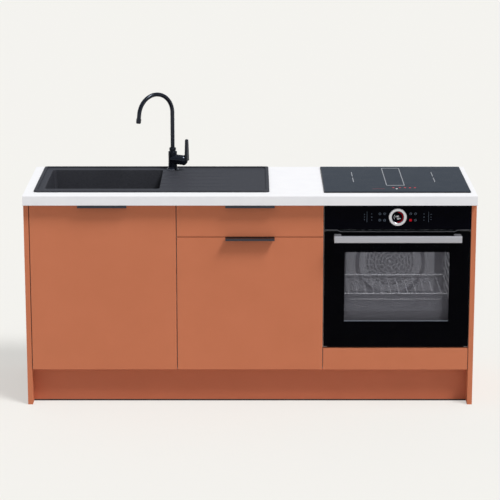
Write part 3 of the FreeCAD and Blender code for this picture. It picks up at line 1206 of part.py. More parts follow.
def build_oven_panel():
    """Filler panel, control panel, display boss and control ring."""
    filler_top = door_z - DOOR_FILLER_GAP
    parts["oven_filler_panel"] = box(oven_x + FRONT_GAP / 2, end_x - FRONT_GAP, face_y, carcass_y,
                                     front_z, filler_top)
    knob = V(oven_mid_x, face_y, (panel_z + panel_top_z) / 2)
    seat = knob + Y_AXIS * RING_SEAT_DEPTH
    panel = box(oven_face_x0, oven_face_x1, face_y, carcass_y, panel_z, panel_top_z)
    face_edges = [edge for edge in panel.Edges if edge.BoundBox.YMax < face_y + FRONT_EDGE]
    panel = panel.makeFillet(FRONT_EDGE / 2, face_edges)
    parts["oven_control_panel"] = panel.cut(rod(RING_RADIUS + RING_SIDE_GAP, knob, seat))
    forward = V(0, -1, 0)
    length = RING_SEAT_DEPTH + RING_PROUD
    shoulder = length - RING_ROUND
    face = length - RING_ROUND / 2
    boss = RING_BORE - RUNNING_FIT
    profile = [(0, 0), (boss, 0), (boss, shoulder), (RING_BORE - RING_ROUND, face), (0, face)]
    parts["oven_display"] = turned(profile, seat, forward)
    profile = [(RING_BORE, DOME_GAP), (RING_RADIUS, DOME_GAP), (RING_RADIUS, shoulder),
               (RING_RADIUS - RING_ROUND, length), (RING_BORE + RING_ROUND, length), (RING_BORE, shoulder)]
    parts["oven_control_ring"] = turned(profile, seat, forward)


def stepped_top(x0, x1, bottom, top):
    """Outline of a door plate whose top edge is set lower between two slopes."""
    step_x0 = oven_face_x0 + DOOR_STEP_INSET
    step_x1 = oven_face_x1 - DOOR_STEP_INSET
    return [(x0, bottom), (x1, bottom), (x1, top), (step_x1 + DOOR_STEP_RUN, top), (step_x1, top - DOOR_STEP),
            (step_x0, top - DOOR_STEP), (step_x0 - DOOR_STEP_RUN, top), (x0, top)]


def build_oven_door():
    """Drop-down oven door: glass, frame, inner pane, top trim, handle and hinge lugs."""
    glass_back = face_y + DOOR_GLASS
    flange_back = glass_back + DOOR_FLANGE
    body_back = frame_y - DOOR_SEAL_GAP
    glass_top = door_top_z - TRIM_SHEET
    outline = stepped_top(oven_face_x0, oven_face_x1, door_z, glass_top)
    glass = prism([V(x, face_y, z) for x, z in outline], V(0, DOOR_GLASS, 0))
    parts["oven_door_glass"] = glass

    window = (oven_face_x0 + WINDOW_SIDE_MARGIN, oven_face_x1 - WINDOW_SIDE_MARGIN,
              door_z + WINDOW_BOTTOM_MARGIN, door_top_z - WINDOW_TOP_MARGIN)
    flange_x0 = oven_face_x0 + DOOR_FLANGE_INSET
    flange_x1 = oven_face_x1 - DOOR_FLANGE_INSET
    outline = stepped_top(flange_x0, flange_x1, door_z + DOOR_FLANGE_INSET, glass_top)
    flange = prism([V(x, glass_back, z) for x, z in outline], V(0, DOOR_FLANGE, 0))
    body_x0 = oven_face_x0 + DOOR_BODY_INSET
    body_x1 = oven_face_x1 - DOOR_BODY_INSET
    body_top = glass_top - DOOR_STEP - DOOR_BODY_TOP
    body_z = door_z + DOOR_BODY_BOTTOM
    body = rounded_block(body_x0, body_x1, flange_back, body_back, body_z, body_top, WINDOW_CORNER, Y_AXIS)
    opening = rounded_block(window[0], window[1], glass_back, flange_back, window[2], window[3],
                            WINDOW_CORNER, Y_AXIS)
    wall = DOOR_WALL
    hollow = box(body_x0 + wall, body_x1 - wall, glass_back + DOOR_MASK, body_back,
                 body_z + wall, body_top - wall)
    pane_y = body_back - INNER_GLASS
    lap = INNER_GLASS_INSET
    pane_seat = (body_x0 + lap, body_x1 - lap, pane_y, body_back, body_z + lap, body_top - lap)
    pivot_y = face_y + DOOR_PIVOT_BACK
    pivot_z = door_z + DOOR_PIVOT_RISE
    lug_x = casing_x0 + OVEN_SHEET + DOOR_LUG_INSET + DOOR_LUG / 2
    notch = DOOR_LUG / 2 + DOOR_LUG_GAP
    eye_reach = DOOR_EYE_RADIUS + DOOR_NOTCH_GAP
    bosses = []
    notches = []
    bores = []
    lugs = []
    for side in (1, -1):
        x = lug_x if side == 1 else 2 * oven_mid_x - lug_x
        for direction in (-1, 1):
            start = V(x + direction * notch, pivot_y, pivot_z)
            bosses.append(rod(DOOR_EYE_RADIUS, start, start + X_AXIS * direction * DOOR_PIN_BITE))
        notches.append(box(x - notch, x + notch, glass_back, body_back, door_z, pivot_z + eye_reach))
        reach = notch + DOOR_PIN_BITE
        pin_ends = (V(x - reach, pivot_y, pivot_z), V(x + reach, pivot_y, pivot_z))
        bores.append(rod(DOOR_PIN_RADIUS + RUNNING_FIT, *pin_ends))
        pin = rod(DOOR_PIN_RADIUS, *pin_ends)
        half = DOOR_LUG / 2
        eye = rod(DOOR_EYE_RADIUS, V(x - half, pivot_y, pivot_z), V(x + half, pivot_y, pivot_z))
        arm = box(x - half, x + half, pivot_y, frame_y, pivot_z, pivot_z + DOOR_EYE_RADIUS)
        lugs.append(fused([pin, eye, arm]))
    door_frame = fused([flange, body] + bosses).cut(opening).cut(hollow).cut(box(*pane_seat))
    parts["oven_door_frame"] = door_frame.cut(Part.makeCompound(notches)).cut(Part.makeCompound(bores))
    parts["oven_hinge_lugs"] = Part.makeCompound(lugs)
    parts["oven_inner_glass"] = box(*pane_seat)

    lower = stepped_top(oven_face_x0, oven_face_x1, door_top_z, glass_top)[2:]
    raised = [(x, z + TRIM_SHEET) for x, z in reversed(lower)]
    strip = [V(x, face_y, z) for x, z in lower + raised]
    parts["oven_door_trim"] = prism(strip, V(0, DOOR_GLASS + DOOR_FLANGE, 0))

    bar_front = face_y - HANDLE_REACH
    bar_z = door_top_z - HANDLE_DROP
    half = HANDLE_HEIGHT / 2
    x0 = oven_mid_x - HANDLE_WIDTH / 2
    x1 = oven_mid_x + HANDLE_WIDTH / 2
    bar = rounded_block(x0, x1, bar_front, bar_front + HANDLE_THICKNESS, bar_z - half, bar_z + half,
                        HANDLE_ROUND, X_AXIS)
    post_half = HANDLE_POST_HEIGHT / 2
    posts = [rounded_block(x, x + HANDLE_POST_WIDTH, bar_front + HANDLE_THICKNESS / 2, face_y,
                           bar_z - post_half, bar_z + post_half, HANDLE_ROUND, Y_AXIS)
             for x in (x0, x1 - HANDLE_POST_WIDTH)]
    parts["oven_door_handle"] = fused([bar] + posts)


def main():
    """Build every piece and write one file for each."""
    build_carcasses()
    build_plinth()
    build_fronts()
    build_drawer()
    build_sink()
    build_waste()
    build_lever(*build_tap())
    build_hob()
    build_worktop()
    build_oven_housing()
    build_fan()
    build_oven_inserts()
    build_oven_panel()
    build_oven_door()
    os.makedirs("parts", exist_ok=True)
    for name, shape in parts.items():
        shape.exportStep("parts/" + name + ".step")
    print(len(parts), "parts")


main()
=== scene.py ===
"""Kitchen base unit: surface finishes, printed marks, small fasteners, light and camera."""
import math
import bpy
from bpy.props import FloatProperty, FloatVectorProperty, PointerProperty
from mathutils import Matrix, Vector


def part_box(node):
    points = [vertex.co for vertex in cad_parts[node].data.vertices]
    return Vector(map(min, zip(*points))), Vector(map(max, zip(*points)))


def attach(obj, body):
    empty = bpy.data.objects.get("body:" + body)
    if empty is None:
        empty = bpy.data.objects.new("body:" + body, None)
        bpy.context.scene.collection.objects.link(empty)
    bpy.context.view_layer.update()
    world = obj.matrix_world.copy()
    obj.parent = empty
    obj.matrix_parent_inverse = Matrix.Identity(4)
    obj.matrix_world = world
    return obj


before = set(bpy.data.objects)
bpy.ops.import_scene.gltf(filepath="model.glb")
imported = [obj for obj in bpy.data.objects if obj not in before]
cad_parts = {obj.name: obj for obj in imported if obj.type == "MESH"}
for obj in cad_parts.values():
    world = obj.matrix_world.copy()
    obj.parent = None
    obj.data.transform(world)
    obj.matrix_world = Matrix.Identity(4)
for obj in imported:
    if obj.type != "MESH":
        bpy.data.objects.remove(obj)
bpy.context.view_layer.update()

bl_info = {
    "name": "Kitchen base unit finishes",
    "version": (1, 0, 0),
    "blender": (4, 5, 0),
    "location": "3D View > Sidebar > Kitchen unit",
    "description": "Finishes, printed marks, fasteners and stage for a run of kitchen base units",
    "category": "Object",
}

MM = 0.001
ORIGIN = (0, 0, 0)

# Directions that a piece can face. The quarter turn takes UP to OUT exactly, so marks lie flat.
UP = Vector((0, 0, 1))
OUT = Vector((0, -1, 0))
BACK = Vector((0, 1, 0))
LEFT = Vector((-1, 0, 0))
RIGHT = Vector((1, 0, 0))
UP_TO_OUT = (math.sqrt(0.5), math.sqrt(0.5), 0, 0)
SMOOTH_ANGLE = math.radians(32)

# Noise stays mostly between these two values, so colours and roughness spread between them.
NOISE_LOW = 0.3
NOISE_HIGH = 0.7
DARKENING_EDGE = 4 * MM  # how gradually a darkening starts and ends

# Sockets of a colour Mix node, by number because their names repeat.
MIX_SHARE, MIX_A, MIX_B, MIX_RESULT = 0, 6, 7, 2

# Hob print in mm: x from the run's middle, depth behind the worktop's front edge.
ZONE_X = (563, 636)
ZONE_DEPTH = (187, 543)
ZONE_END_LINES = 2.4
DASH_X = (430, 768)
DASH_DEPTH = (300, 415)
DASH_LENGTH = 90
TOUCH_X = (588, 614, 635, 656, 676)
TOUCH_DEPTH = 140
SLIDER_X = 527
SLIDER_LENGTH = 50
POWER_X = 600
POWER_DEPTH = 119

# Oven panel print in mm, across and up from the control ring's middle.
KEYS_ACROSS = (-73, -53.5, 52, 71.6)
KEYS_UP = (13.6, -12.9)
RED_KEY = (52, -12.9)
KEY_BAR = 0.9  # share of a key's radius
LEVELS_UP = (13, 0, -12.5)
LEVEL_ACROSS = 106
LEVEL_LENGTH = 3.4
LEVEL_MIDDLE_LENGTH = 6
LEVEL_WIDTH = 2.2
DOT_ACROSS = 135
DOT_RADIUS = 1.5
DOT_SPREAD = 0.85
RULE_ACROSS = 125
RULE_UP = 0.7
RULE_WIDTH = 0.9
RULE_LENGTH = 44

# Oven door print in mm: how far it stays inside the glass, and clear of the trim above.
PRINT_INSET = 0.4
PRINT_TOP_INSET = 7.5
PRINT_SUNK = 0.1

# Oven inside in mm: how far behind the fan cover's face the painted shade begins, how far in from
# the shelf's front and back rods its wires turn darker, and the fan cover's screws.
SHADE_BEHIND_COVER = 5
DARKER_BEHIND_ROD = 7
COVER_SCREW_INSET = 16
COVER_FACE = 2.5

# Door fittings in mm. Heights are from a door's foot and top; the rest is from its hinge edge
# (its free edge for a buffer), its back or its unit's left side.
UNIT_LEFT = {"sink_door": -900, "cupboard_door": -300}
HINGE_UP = 100
HINGE_DOWN = 150
CUP_IN = 20.5
CUP_FLANGE = 0.7
CUP_SCREW_SPREAD = 23.5
PLATE_IN = 20.9
PLATE_BEHIND = 39
PLATE_SCREW_SPREAD = 17
BUFFER_IN = 9
BUFFER_UP = 12
BUFFER_DOWN = 40
BUFFER_RADIUS = 4
BUFFER_RISE = 1.7  # under its rim
BUFFER_SUNK = 0.1

# Screw head, in shares of its height or radius, and the z normal that marks its flat top.
HEAD_ROUND = 0.45
HEAD_RIM = 0.3
RECESS_DEPTH = 0.5
RECESS_TAPER = 0.45
TOP_NORMAL = 0.99

# Studio light and camera.
SUN_STRENGTH = 2.6
SUN_PLACE = (0, -3, 4)
SUN_TURN = (math.radians(19.7), math.radians(26.6), 0)
SUN_SPREAD = math.radians(18)
WORLD_STRENGTH = 0.475
EVENED_SHARE = 0.55  # how far the floor that is seen is evened out to the backdrop's colour
OVEN_LAMP_POWER = 4.5
OVEN_LAMP_TURN = (math.radians(45), 0, 0)
OVEN_LAMP_SIZE = (0.4, 0.02)
OVEN_LAMP_BEHIND = 14 * MM
OVEN_LAMP_BELOW = 25 * MM
SENSOR_WIDTH = 36
VIEW_END = 500


def linear(hex_colour):
    """Linear RGBA of an opaque sRGB hex colour."""
    channels = [int(hex_colour[i:i + 2], 16) / 255 for i in (1, 3, 5)]
    return tuple(c / 12.92 if c <= 0.04045 else ((c + 0.055) / 1.055) ** 2.4
                 for c in channels) + (1.0,)


def add_node(owner, kind, settings=None, links=None):
    """Add one node; a setting goes to the socket of that name or number, or to the node itself."""
    tree = owner.node_tree
    node = tree.nodes.new(kind)
    for key, value in (settings or {}).items():
        if key == "stops":
            ramp = node.color_ramp.elements
            while len(ramp) < len(value):
                ramp.new(1.0)
            for stop, (place, colour) in zip(ramp, value):
                stop.position = place
                stop.color = colour
        elif isinstance(key, int) or key in node.inputs:
            node.inputs[key].default_value = value
        else:
            setattr(node, key, value)
    for key, (source, output) in (links or {}).items():
        tree.links.new(source.outputs[output], node.inputs[key])
    return node


def shaded(name, settings):
    """A material whose shader holds the values that are the same all over."""
    made = bpy.data.materials.new(name)
    made.use_nodes = True
    made.node_tree.nodes.clear()
    shader = add_node(made, "ShaderNodeBsdfPrincipled", settings)
    add_node(made, "ShaderNodeOutputMaterial", None, {"Surface": (shader, "BSDF")})
    return made


def feed(made, node, output, socket):
    """Link a node to a socket of the material's shader."""
    shader = made.node_tree.nodes["Principled BSDF"]
    made.node_tree.links.new(node.outputs[output], shader.inputs[socket])


def grain(made, size_mm, detail=2.0, kind="ShaderNodeTexNoise"):
    """A pattern whose features have this size in millimetres, one number or one for each axis."""
    sizes = size_mm if isinstance(size_mm, tuple) else (size_mm,) * 3
    coords = add_node(made, "ShaderNodeTexCoord")
    mapping = add_node(made, "ShaderNodeMapping", {"Scale": [1 / (size * MM) for size in sizes]},
                       {"Vector": (coords, "Object")})
    settings = {"Scale": 1.0}
    if kind == "ShaderNodeTexNoise":
        settings["Detail"] = detail
    return add_node(made, kind, settings, {"Vector": (mapping, "Vector")})


def between(shade, light):
    """Colour stops that spread two tones over a noise."""
    return [(NOISE_LOW, shade), (NOISE_HIGH, light)]


def tint(made, pattern, stops, output="Fac"):
    """Colour the surface by a pattern."""
    ramp = add_node(made, "ShaderNodeValToRGB", {"stops": stops}, {"Fac": (pattern, output)})
    feed(made, ramp, "Color", "Base Color")
    return ramp


def dull(made, pattern, low, high, output="Fac"):
    """Let the roughness follow a pattern between two values."""
    span = add_node(made, "ShaderNodeMapRange",
                    {"From Min": NOISE_LOW, "From Max": NOISE_HIGH, "To Min": low, "To Max": high},
                    {"Value": (pattern, output)})
    feed(made, span, "Result", "Roughness")


def relief(made, pattern, depth_mm, strength, output="Fac"):
    """Raise the surface by a pattern."""
    bump = add_node(made, "ShaderNodeBump", {"Strength": strength, "Distance": depth_mm * MM},
                    {"Height": (pattern, output)})
    feed(made, bump, "Normal", "Normal")


def darken_between(made, clean, start, end, colour):
    """Darken a finish between two depths in the oven, easing in and out at each."""
    place = add_node(made, "ShaderNodeTexCoord")
    depth = add_node(made, "ShaderNodeSeparateXYZ", None, {0: (place, "Object")})
    begun, left = [add_node(made, "ShaderNodeMapRange", {"From Min": bare, "From Max": covered},
                            {"Value": (depth, "Y")})
                   for bare, covered in ((start, start + DARKENING_EDGE), (end, end - DARKENING_EDGE))]
    film = add_node(made, "ShaderNodeMath", {"operation": "MULTIPLY"},
                    {0: (begun, "Result"), 1: (left, "Result")})
    darkened = add_node(made, "ShaderNodeMix", {"data_type": "RGBA", MIX_B: linear(colour)},
                     {MIX_SHARE: (film, "Value"), MIX_A: (clean, "Color")})
    feed(made, darkened, MIX_RESULT, "Base Color")


def lacquered_fibreboard(name, light, shade):
    """Sprayed matt lacquer on fibreboard: even colour, soft sheen and a faint orange peel."""
    made = shaded(name, {"Specular IOR Level": 0.1})
    cloud = grain(made, 180, detail=3.0)
    peel = grain(made, 2.4, detail=1.0)
    tint(made, cloud, between(shade, light))
    dull(made, cloud, low=0.46, high=0.56)
    relief(made, peel, depth_mm=0.12, strength=0.25)
    return made


def melamine_chipboard():
    """Melamine paper pressed on chipboard: off-white, fine pearl texture, low sheen.

    Pearls of 0.6 mm are too fine to show, so they are drawn 1.8 mm across.
    """
    made = shaded("Melamine_faced_chipboard", {"Specular IOR Level": 0.4})
    pearl = grain(made, 1.8)
    cloud = grain(made, 90)
    tint(made, cloud, between(linear("#e4e2dd"), linear("#e9e8e3")))
    dull(made, pearl, low=0.42, high=0.56)
    relief(made, pearl, depth_mm=0.08, strength=0.3)
    return made


def laminate_worktop(colours):
    """High-pressure laminate: clean white with a fine crystal texture that breaks up its shine."""
    made = shaded("White_laminate_crystal_texture", {"Specular IOR Level": 0.15})
    crystal = grain(made, 2.2, detail=3.0)
    cloud = grain(made, 60, detail=4.0)
    tint(made, cloud, between(colours.worktop_shade, colours.worktop))
    dull(made, crystal, low=0.42, high=0.58)
    relief(made, crystal, depth_mm=0.06, strength=0.25)
    return made


def granite_composite(colours):
    """Granite grit cast in resin: charcoal with paler and black grains under a matt skin.

    Grains of 0.5 mm are too fine to show, so they are drawn about 3 mm across.
    """
    made = shaded("Cast_granite_composite", {"Specular IOR Level": 0.14})
    grit = grain(made, 3.0, kind="ShaderNodeTexVoronoi")
    skin = grain(made, 1.6, detail=3.0)
    tint(made, grit, [(0.0, colours.sink_shade), (0.55, colours.sink), (0.93, colours.sink),
                      (1.0, colours.sink_fleck)], "Color")
    dull(made, skin, low=0.44, high=0.62)
    relief(made, skin, depth_mm=0.1, strength=0.35)
    return made


def brushed_metal(name, light, shade, roughness, lines_mm, strength=0.25, metallic=1.0):
    """Metal with fine tool marks: streaks along the axis of the longest size, or an even grain.

    Marks of 0.1 mm are too fine to show, so they are drawn 0.8 to 6 mm wide.
    """
    made = shaded(name, {"Metallic": metallic})
    lines = grain(made, lines_mm, detail=3.0)
    tint(made, lines, between(shade, light))
    dull(made, lines, low=roughness - 0.06, high=roughness + 0.08)
    relief(made, lines, depth_mm=0.03, strength=strength)
    return made


def zinc_plate():
    """Zinc-plated steel: cool bright grey with soft cloudy patches; made once, then shared."""
    if "Zinc_plated_steel" in bpy.data.materials:
        return bpy.data.materials["Zinc_plated_steel"]
    made = shaded("Zinc_plated_steel", {"Metallic": 1.0})
    cloud = grain(made, 9, detail=3.0)
    tint(made, cloud, between(linear("#a9adb1"), linear("#c9ccce")))
    dull(made, cloud, low=0.24, high=0.38)
    relief(made, cloud, depth_mm=0.04, strength=0.15)
    return made


def galvanised_sheet():
    """Hot-dip galvanised sheet: grey with crystal spangles a centimetre wide."""
    made = shaded("Galvanised_steel_sheet", {"Metallic": 1.0})
    spangle = grain(made, 11, kind="ShaderNodeTexVoronoi")
    tint(made, spangle, [(0.0, linear("#8f9498")), (1.0, linear("#b9bdc0"))], "Color")
    dull(made, spangle, low=0.3, high=0.46, output="Color")
    relief(made, spangle, depth_mm=0.02, strength=0.1, output="Distance")
    return made


def moulded_plastic(name, shade, light, roughness, texture_mm=1.1, strength=0.25):
    """Injection-moulded plastic: even colour and the fine spark texture of its mould.

    Sparks of 0.2 mm are too fine to show, so they are drawn 1.1 to 3 mm across.
    """
    made = shaded(name, {"Specular IOR Level": 0.45})
    spark = grain(made, texture_mm)
    cloud = grain(made, 40)
    tint(made, cloud, between(linear(shade), linear(light)))
    dull(made, spark, low=roughness - 0.06, high=roughness + 0.08)
    relief(made, spark, depth_mm=0.05, strength=strength)
    return made


def powder_black(colours):
    """Satin black coat cured on brass: near-black, a fine powder texture and a cool highlight.

    Powder grains of 0.1 mm are too fine to show, so they are drawn 0.9 mm across.
    """
    made = shaded("Satin_black_coated_brass", {"Specular IOR Level": 0.62,
                                               "Specular Tint": linear("#bfc9dc")})
    powder = grain(made, 0.9)
    cloud = grain(made, 25)
    tint(made, cloud, between(colours.tap_shade, colours.tap))
    dull(made, powder, low=0.16, high=0.24)
    relief(made, powder, depth_mm=0.03, strength=0.2)
    return made


def chrome_plate(name, colour, low, high, metallic=1.0, darkened=None):
    """Bright chromium plate or polished steel: clear reflections, slightly hazed by handling.

    Between two depths in the oven it can be made darker.
    """
    made = shaded(name, {"Metallic": metallic})
    haze = grain(made, 14, detail=3.0)
    clean = tint(made, haze, [(0.3, linear(colour)), (0.75, linear("#d9dbdd"))])
    if darkened:
        darken_between(made, clean, *darkened, "#b0b1b6")
    dull(made, haze, low, high)
    return made


def glass_ceramic(colours):
    """Black glass ceramic: polished, dark through, with the faint haze of wiping."""
    made = shaded("Black_glass_ceramic", {"IOR": 1.5, "Specular IOR Level": 0.1})
    haze = grain(made, (55, 22, 22), detail=4.0)
    tint(made, haze, between(colours.hob_shade, colours.hob))
    dull(made, haze, low=0.08, high=0.16)
    return made


def fascia_glass():
    """Back-printed black glass: deep black behind a polished face with faint wiping haze."""
    made = shaded("Back_printed_black_glass", {"IOR": 1.5, "Specular IOR Level": 0.02})
    haze = grain(made, (45, 45, 30), detail=4.0)
    tint(made, haze, between(linear("#020208"), linear("#04040b")))
    dull(made, haze, low=0.04, high=0.1)
    return made


def tinted_glass(name, colour, alpha):
    """Toughened glass with a tint or a heat coat: the oven shows through it, dimmed."""
    made = shaded(name, {"Base Color": linear(colour), "IOR": 1.5, "Alpha": alpha,
                         "Specular IOR Level": 0.02})
    haze = grain(made, (45, 45, 30), detail=4.0)
    dull(made, haze, low=0.03, high=0.08)
    return made


def vitreous_enamel(name, shade, light, fleck, darkened=None):
    """Enamel fused on steel: grey glaze, smooth and glossy, with pin-prick pale flecks.

    Flecks of 0.3 mm are too fine to show, so they are drawn about 1.3 mm across.
    Between two depths in the oven the glaze can be painted near-black, as painted shade behind the
    fan cover.
    """
    made = shaded(name, {"IOR": 1.52, "Coat Weight": 0.3, "Coat Roughness": 0.15})
    flecks = grain(made, 4.0, kind="ShaderNodeTexVoronoi")
    glaze = grain(made, 8)
    stops = [(0.0, linear(fleck)), (0.16, linear(light)), (1.0, linear(shade))]
    clean = tint(made, flecks, stops, "Distance")
    # Painted shade: where depths are given, the glaze turns near-black behind the fan cover's face,
    # where little light reaches.
    if darkened:
        darken_between(made, clean, *darkened, "#0b0b0d")
    dull(made, glaze, low=0.22, high=0.36)
    relief(made, glaze, depth_mm=0.05, strength=0.2)
    return made


def screen_ink(name, colour, glow=0.0):
    """Screen-printed ceramic ink: flat, slightly grainy and dull; lit marks also glow.

    Ink grains of 0.05 mm are too fine to show, so they are drawn 0.5 mm across.
    """
    made = shaded(name, {"Emission Color": linear(colour), "Emission Strength": glow,
                         "Roughness": 0.5, "Specular IOR Level": 0.02})
    speck = grain(made, 0.5)
    shade = "#" + "".join("%02x" % int(int(colour[i:i + 2], 16) * 0.86) for i in (1, 3, 5))
    tint(made, speck, [(0.3, linear(shade)), (0.6, linear(colour))])
    # The glow is too faint to light its surroundings, so it isn't sampled as a lamp.
    made.cycles.emission_sampling = "NONE"
    return made


def deselect():
    """Leave nothing selected, in object mode."""
    if bpy.context.object and bpy.context.object.mode != "OBJECT":
        bpy.ops.object.mode_set(mode="OBJECT")
    bpy.ops.object.select_all(action="DESELECT")


def select_only(*pieces):
    """Select these objects and make the first one active."""
    deselect()
    for piece in pieces:
        piece.select_set(True)
    bpy.context.view_layer.objects.active = pieces[0]


def select_parts(piece, kind, wanted):
    """In edit mode, set which vertices or polygons of a piece are selected."""
    bpy.ops.object.mode_set(mode="OBJECT")
    for part in getattr(piece.data, kind):
        part.select = wanted(part)
    bpy.ops.object.mode_set(mode="EDIT")


def unit_square():
    """A new square with sides of 1, open in edit mode."""
    deselect()
    bpy.ops.mesh.primitive_plane_add(size=1)
    bpy.ops.object.mode_set(mode="EDIT")
    return bpy.context.object


def thicken(piece, ink):
    """Give a flat outline its thickness, closed all round, and set its faces outwards."""
    bpy.ops.mesh.select_all(action="SELECT")
    bpy.ops.mesh.extrude_region_move(TRANSFORM_OT_translate={"value": (0, 0, ink)})
    bpy.ops.mesh.select_all(action="SELECT")
    bpy.ops.mesh.normals_make_consistent(inside=False)
    bpy.ops.object.mode_set(mode="OBJECT")
    return piece


def ink_bar(width, length, ink, soft=0.45):
    """A printed bar, its corners rounded by a share of its narrow side."""
    bar = unit_square()
    bpy.ops.transform.resize(value=(width, length, 1))
    bpy.ops.mesh.bevel(offset=min(width, length) * soft, segments=3, affect="VERTICES")
    return thicken(bar, ink)


def edge_strip(width, length, ink):
    """A strip along an edge, its corners hardly rounded."""
    return ink_bar(width, length, ink, soft=0.1)


def ink_dot(radius, ink):
    """A printed round dot."""
    deselect()
    bpy.ops.mesh.primitive_circle_add(vertices=20, radius=radius, fill_type="NGON")
    bpy.ops.object.mode_set(mode="EDIT")
    return thicken(bpy.context.object, ink)


def ink_arc(radius, width, start, sweep, ink, steps=24):
    """A printed arc, from a start angle in degrees, spun from a short radial stroke."""
    arc = unit_square()
    bpy.ops.mesh.select_all(action="DESELECT")
    select_parts(arc, "vertices", lambda vertex: vertex.co.y > 0)
    bpy.ops.mesh.delete(type="VERT")
    bpy.ops.mesh.select_all(action="SELECT")
    bpy.ops.transform.translate(value=(0.5, 0.5, 0))
    bpy.ops.transform.resize(value=(width, 1, 1), center_override=ORIGIN)
    bpy.ops.transform.translate(value=(radius - width / 2, 0, 0))
    bpy.ops.transform.rotate(value=-math.radians(start), orient_axis="Z", center_override=ORIGIN)
    bpy.ops.mesh.spin(steps=steps, angle=-math.radians(sweep), center=ORIGIN, axis=UP)
    bpy.ops.mesh.select_all(action="SELECT")
    bpy.ops.mesh.remove_doubles(threshold=1e-6)
    return thicken(arc, ink)


def ink_number(text, height, ink):
    """A printed number, made a mesh."""
    deselect()
    bpy.ops.object.text_add()
    number = bpy.context.object.data
    number.body = text
    number.size = height
    number.extrude = ink / 2
    number.resolution_u = 2
    number.align_x = "CENTER"
    number.align_y = "CENTER"
    bpy.ops.object.convert(target="MESH")
    return bpy.context.object


def ink_border(window, room, ink):
    """A printed border that fills a room and leaves a window, both as (x0, x1, y0, y1)."""
    border = unit_square()
    wide, tall = room[1] - room[0], room[3] - room[2]
    margin = (window[0] - room[0]) / 2
    centre = ((room[0] + room[1]) / 2, (room[2] + room[3]) / 2, 0)
    bpy.ops.transform.resize(value=(wide, tall, 1))
    bpy.ops.transform.translate(value=centre)
    bpy.ops.mesh.inset(thickness=margin)
    across = (window[1] - window[0]) / (wide - 2 * margin)
    up = (window[3] - window[2]) / (tall - 2 * margin)
    bpy.ops.transform.resize(value=(across, up, 1), center_override=centre)
    bpy.ops.transform.translate(value=((window[0] + window[1]) / 2 - centre[0],
                                       (window[2] + window[3]) / 2 - centre[1], 0))
    bpy.ops.mesh.delete(type="ONLY_FACE")
    return thicken(border, ink)


def screw_head(radius, height):
    """A round head: a raised rim round a sunk, slightly domed middle.

    The bevel's rings stay selected, so the inset and the extrusion carry them along.
    """
    deselect()
    bpy.ops.mesh.primitive_cylinder_add(vertices=24, radius=radius, depth=height,
                                        location=(0, 0, height / 2))
    head = bpy.context.object
    bpy.ops.object.transform_apply(location=True, rotation=True, scale=True)
    bpy.ops.object.mode_set(mode="EDIT")
    bpy.ops.mesh.select_all(action="DESELECT")
    select_parts(head, "polygons", lambda face: face.normal.z > TOP_NORMAL)
    bpy.ops.mesh.bevel(offset=height * HEAD_ROUND, segments=3)
    select_parts(head, "polygons", lambda face: face.normal.z > TOP_NORMAL)
    bpy.ops.mesh.inset(thickness=radius * HEAD_RIM)
    sunk = (0, 0, -height * RECESS_DEPTH)
    bpy.ops.mesh.extrude_region_move(TRANSFORM_OT_translate={"value": sunk})
    bpy.ops.transform.resize(value=(RECESS_TAPER, RECESS_TAPER, 1))
    bpy.ops.object.mode_set(mode="OBJECT")
    return head


def placed(piece, place, facing=UP):
    """Stand a piece at a place, its own +z along a direction, with the place kept in its mesh."""
    piece.location = place
    piece.rotation_mode = "QUATERNION"
    piece.rotation_quaternion = UP_TO_OUT if facing == OUT else UP.rotation_difference(facing)
    select_only(piece)
    bpy.ops.object.transform_apply(location=True, rotation=True, scale=True)
    return piece


def repeated(original, spots, facing):
    """Copies of one piece at several spots, each with its own mesh, as a list."""
    copies = []
    for spot in spots:
        select_only(original)
        bpy.ops.object.duplicate(linked=False)
        copies.append(placed(bpy.context.object, spot, facing))
    bpy.data.objects.remove(original)
    return copies


def settled(pieces, name, material, body):
    """Join pieces into one named object with its material and slot, and let it ride on a body."""
    select_only(*pieces)
    if len(pieces) > 1:
        bpy.ops.object.join()
    piece = bpy.context.object
    piece.rotation_mode = "XYZ"
    piece.name = name
    piece.data.name = name
    piece.data.materials.clear()
    piece.data.materials.append(material)
    bpy.ops.object.shade_smooth_by_angle(angle=SMOOTH_ANGLE)
    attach(piece, body)


def screws(spots, facing, name, body):
    """Zinc-plated screw heads at several spots, as one piece."""
    sizes = bpy.context.scene.kitchen_sizes
    heads = repeated(screw_head(sizes.screw, sizes.screw_rise), spots, facing)
    settled(heads, name, zinc_plate(), body)


def coat(material, *nodes):
    """Give CAD pieces a finish."""
    for name in nodes:
        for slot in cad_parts[name].material_slots:
            slot.material = material


def middle(node):
    """Middle of a CAD piece's box."""
    low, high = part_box(node)
    return (low + high) / 2


def on_panel(piece, across, up, face="oven_control_panel"):
    """Stand a mark on the front of an oven piece, so far from the control ring's middle."""
    centre = middle("oven_control_ring")
    spot = (centre.x + across * MM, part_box(face)[0].y, centre.z + up * MM)
    return placed(piece, spot, OUT)


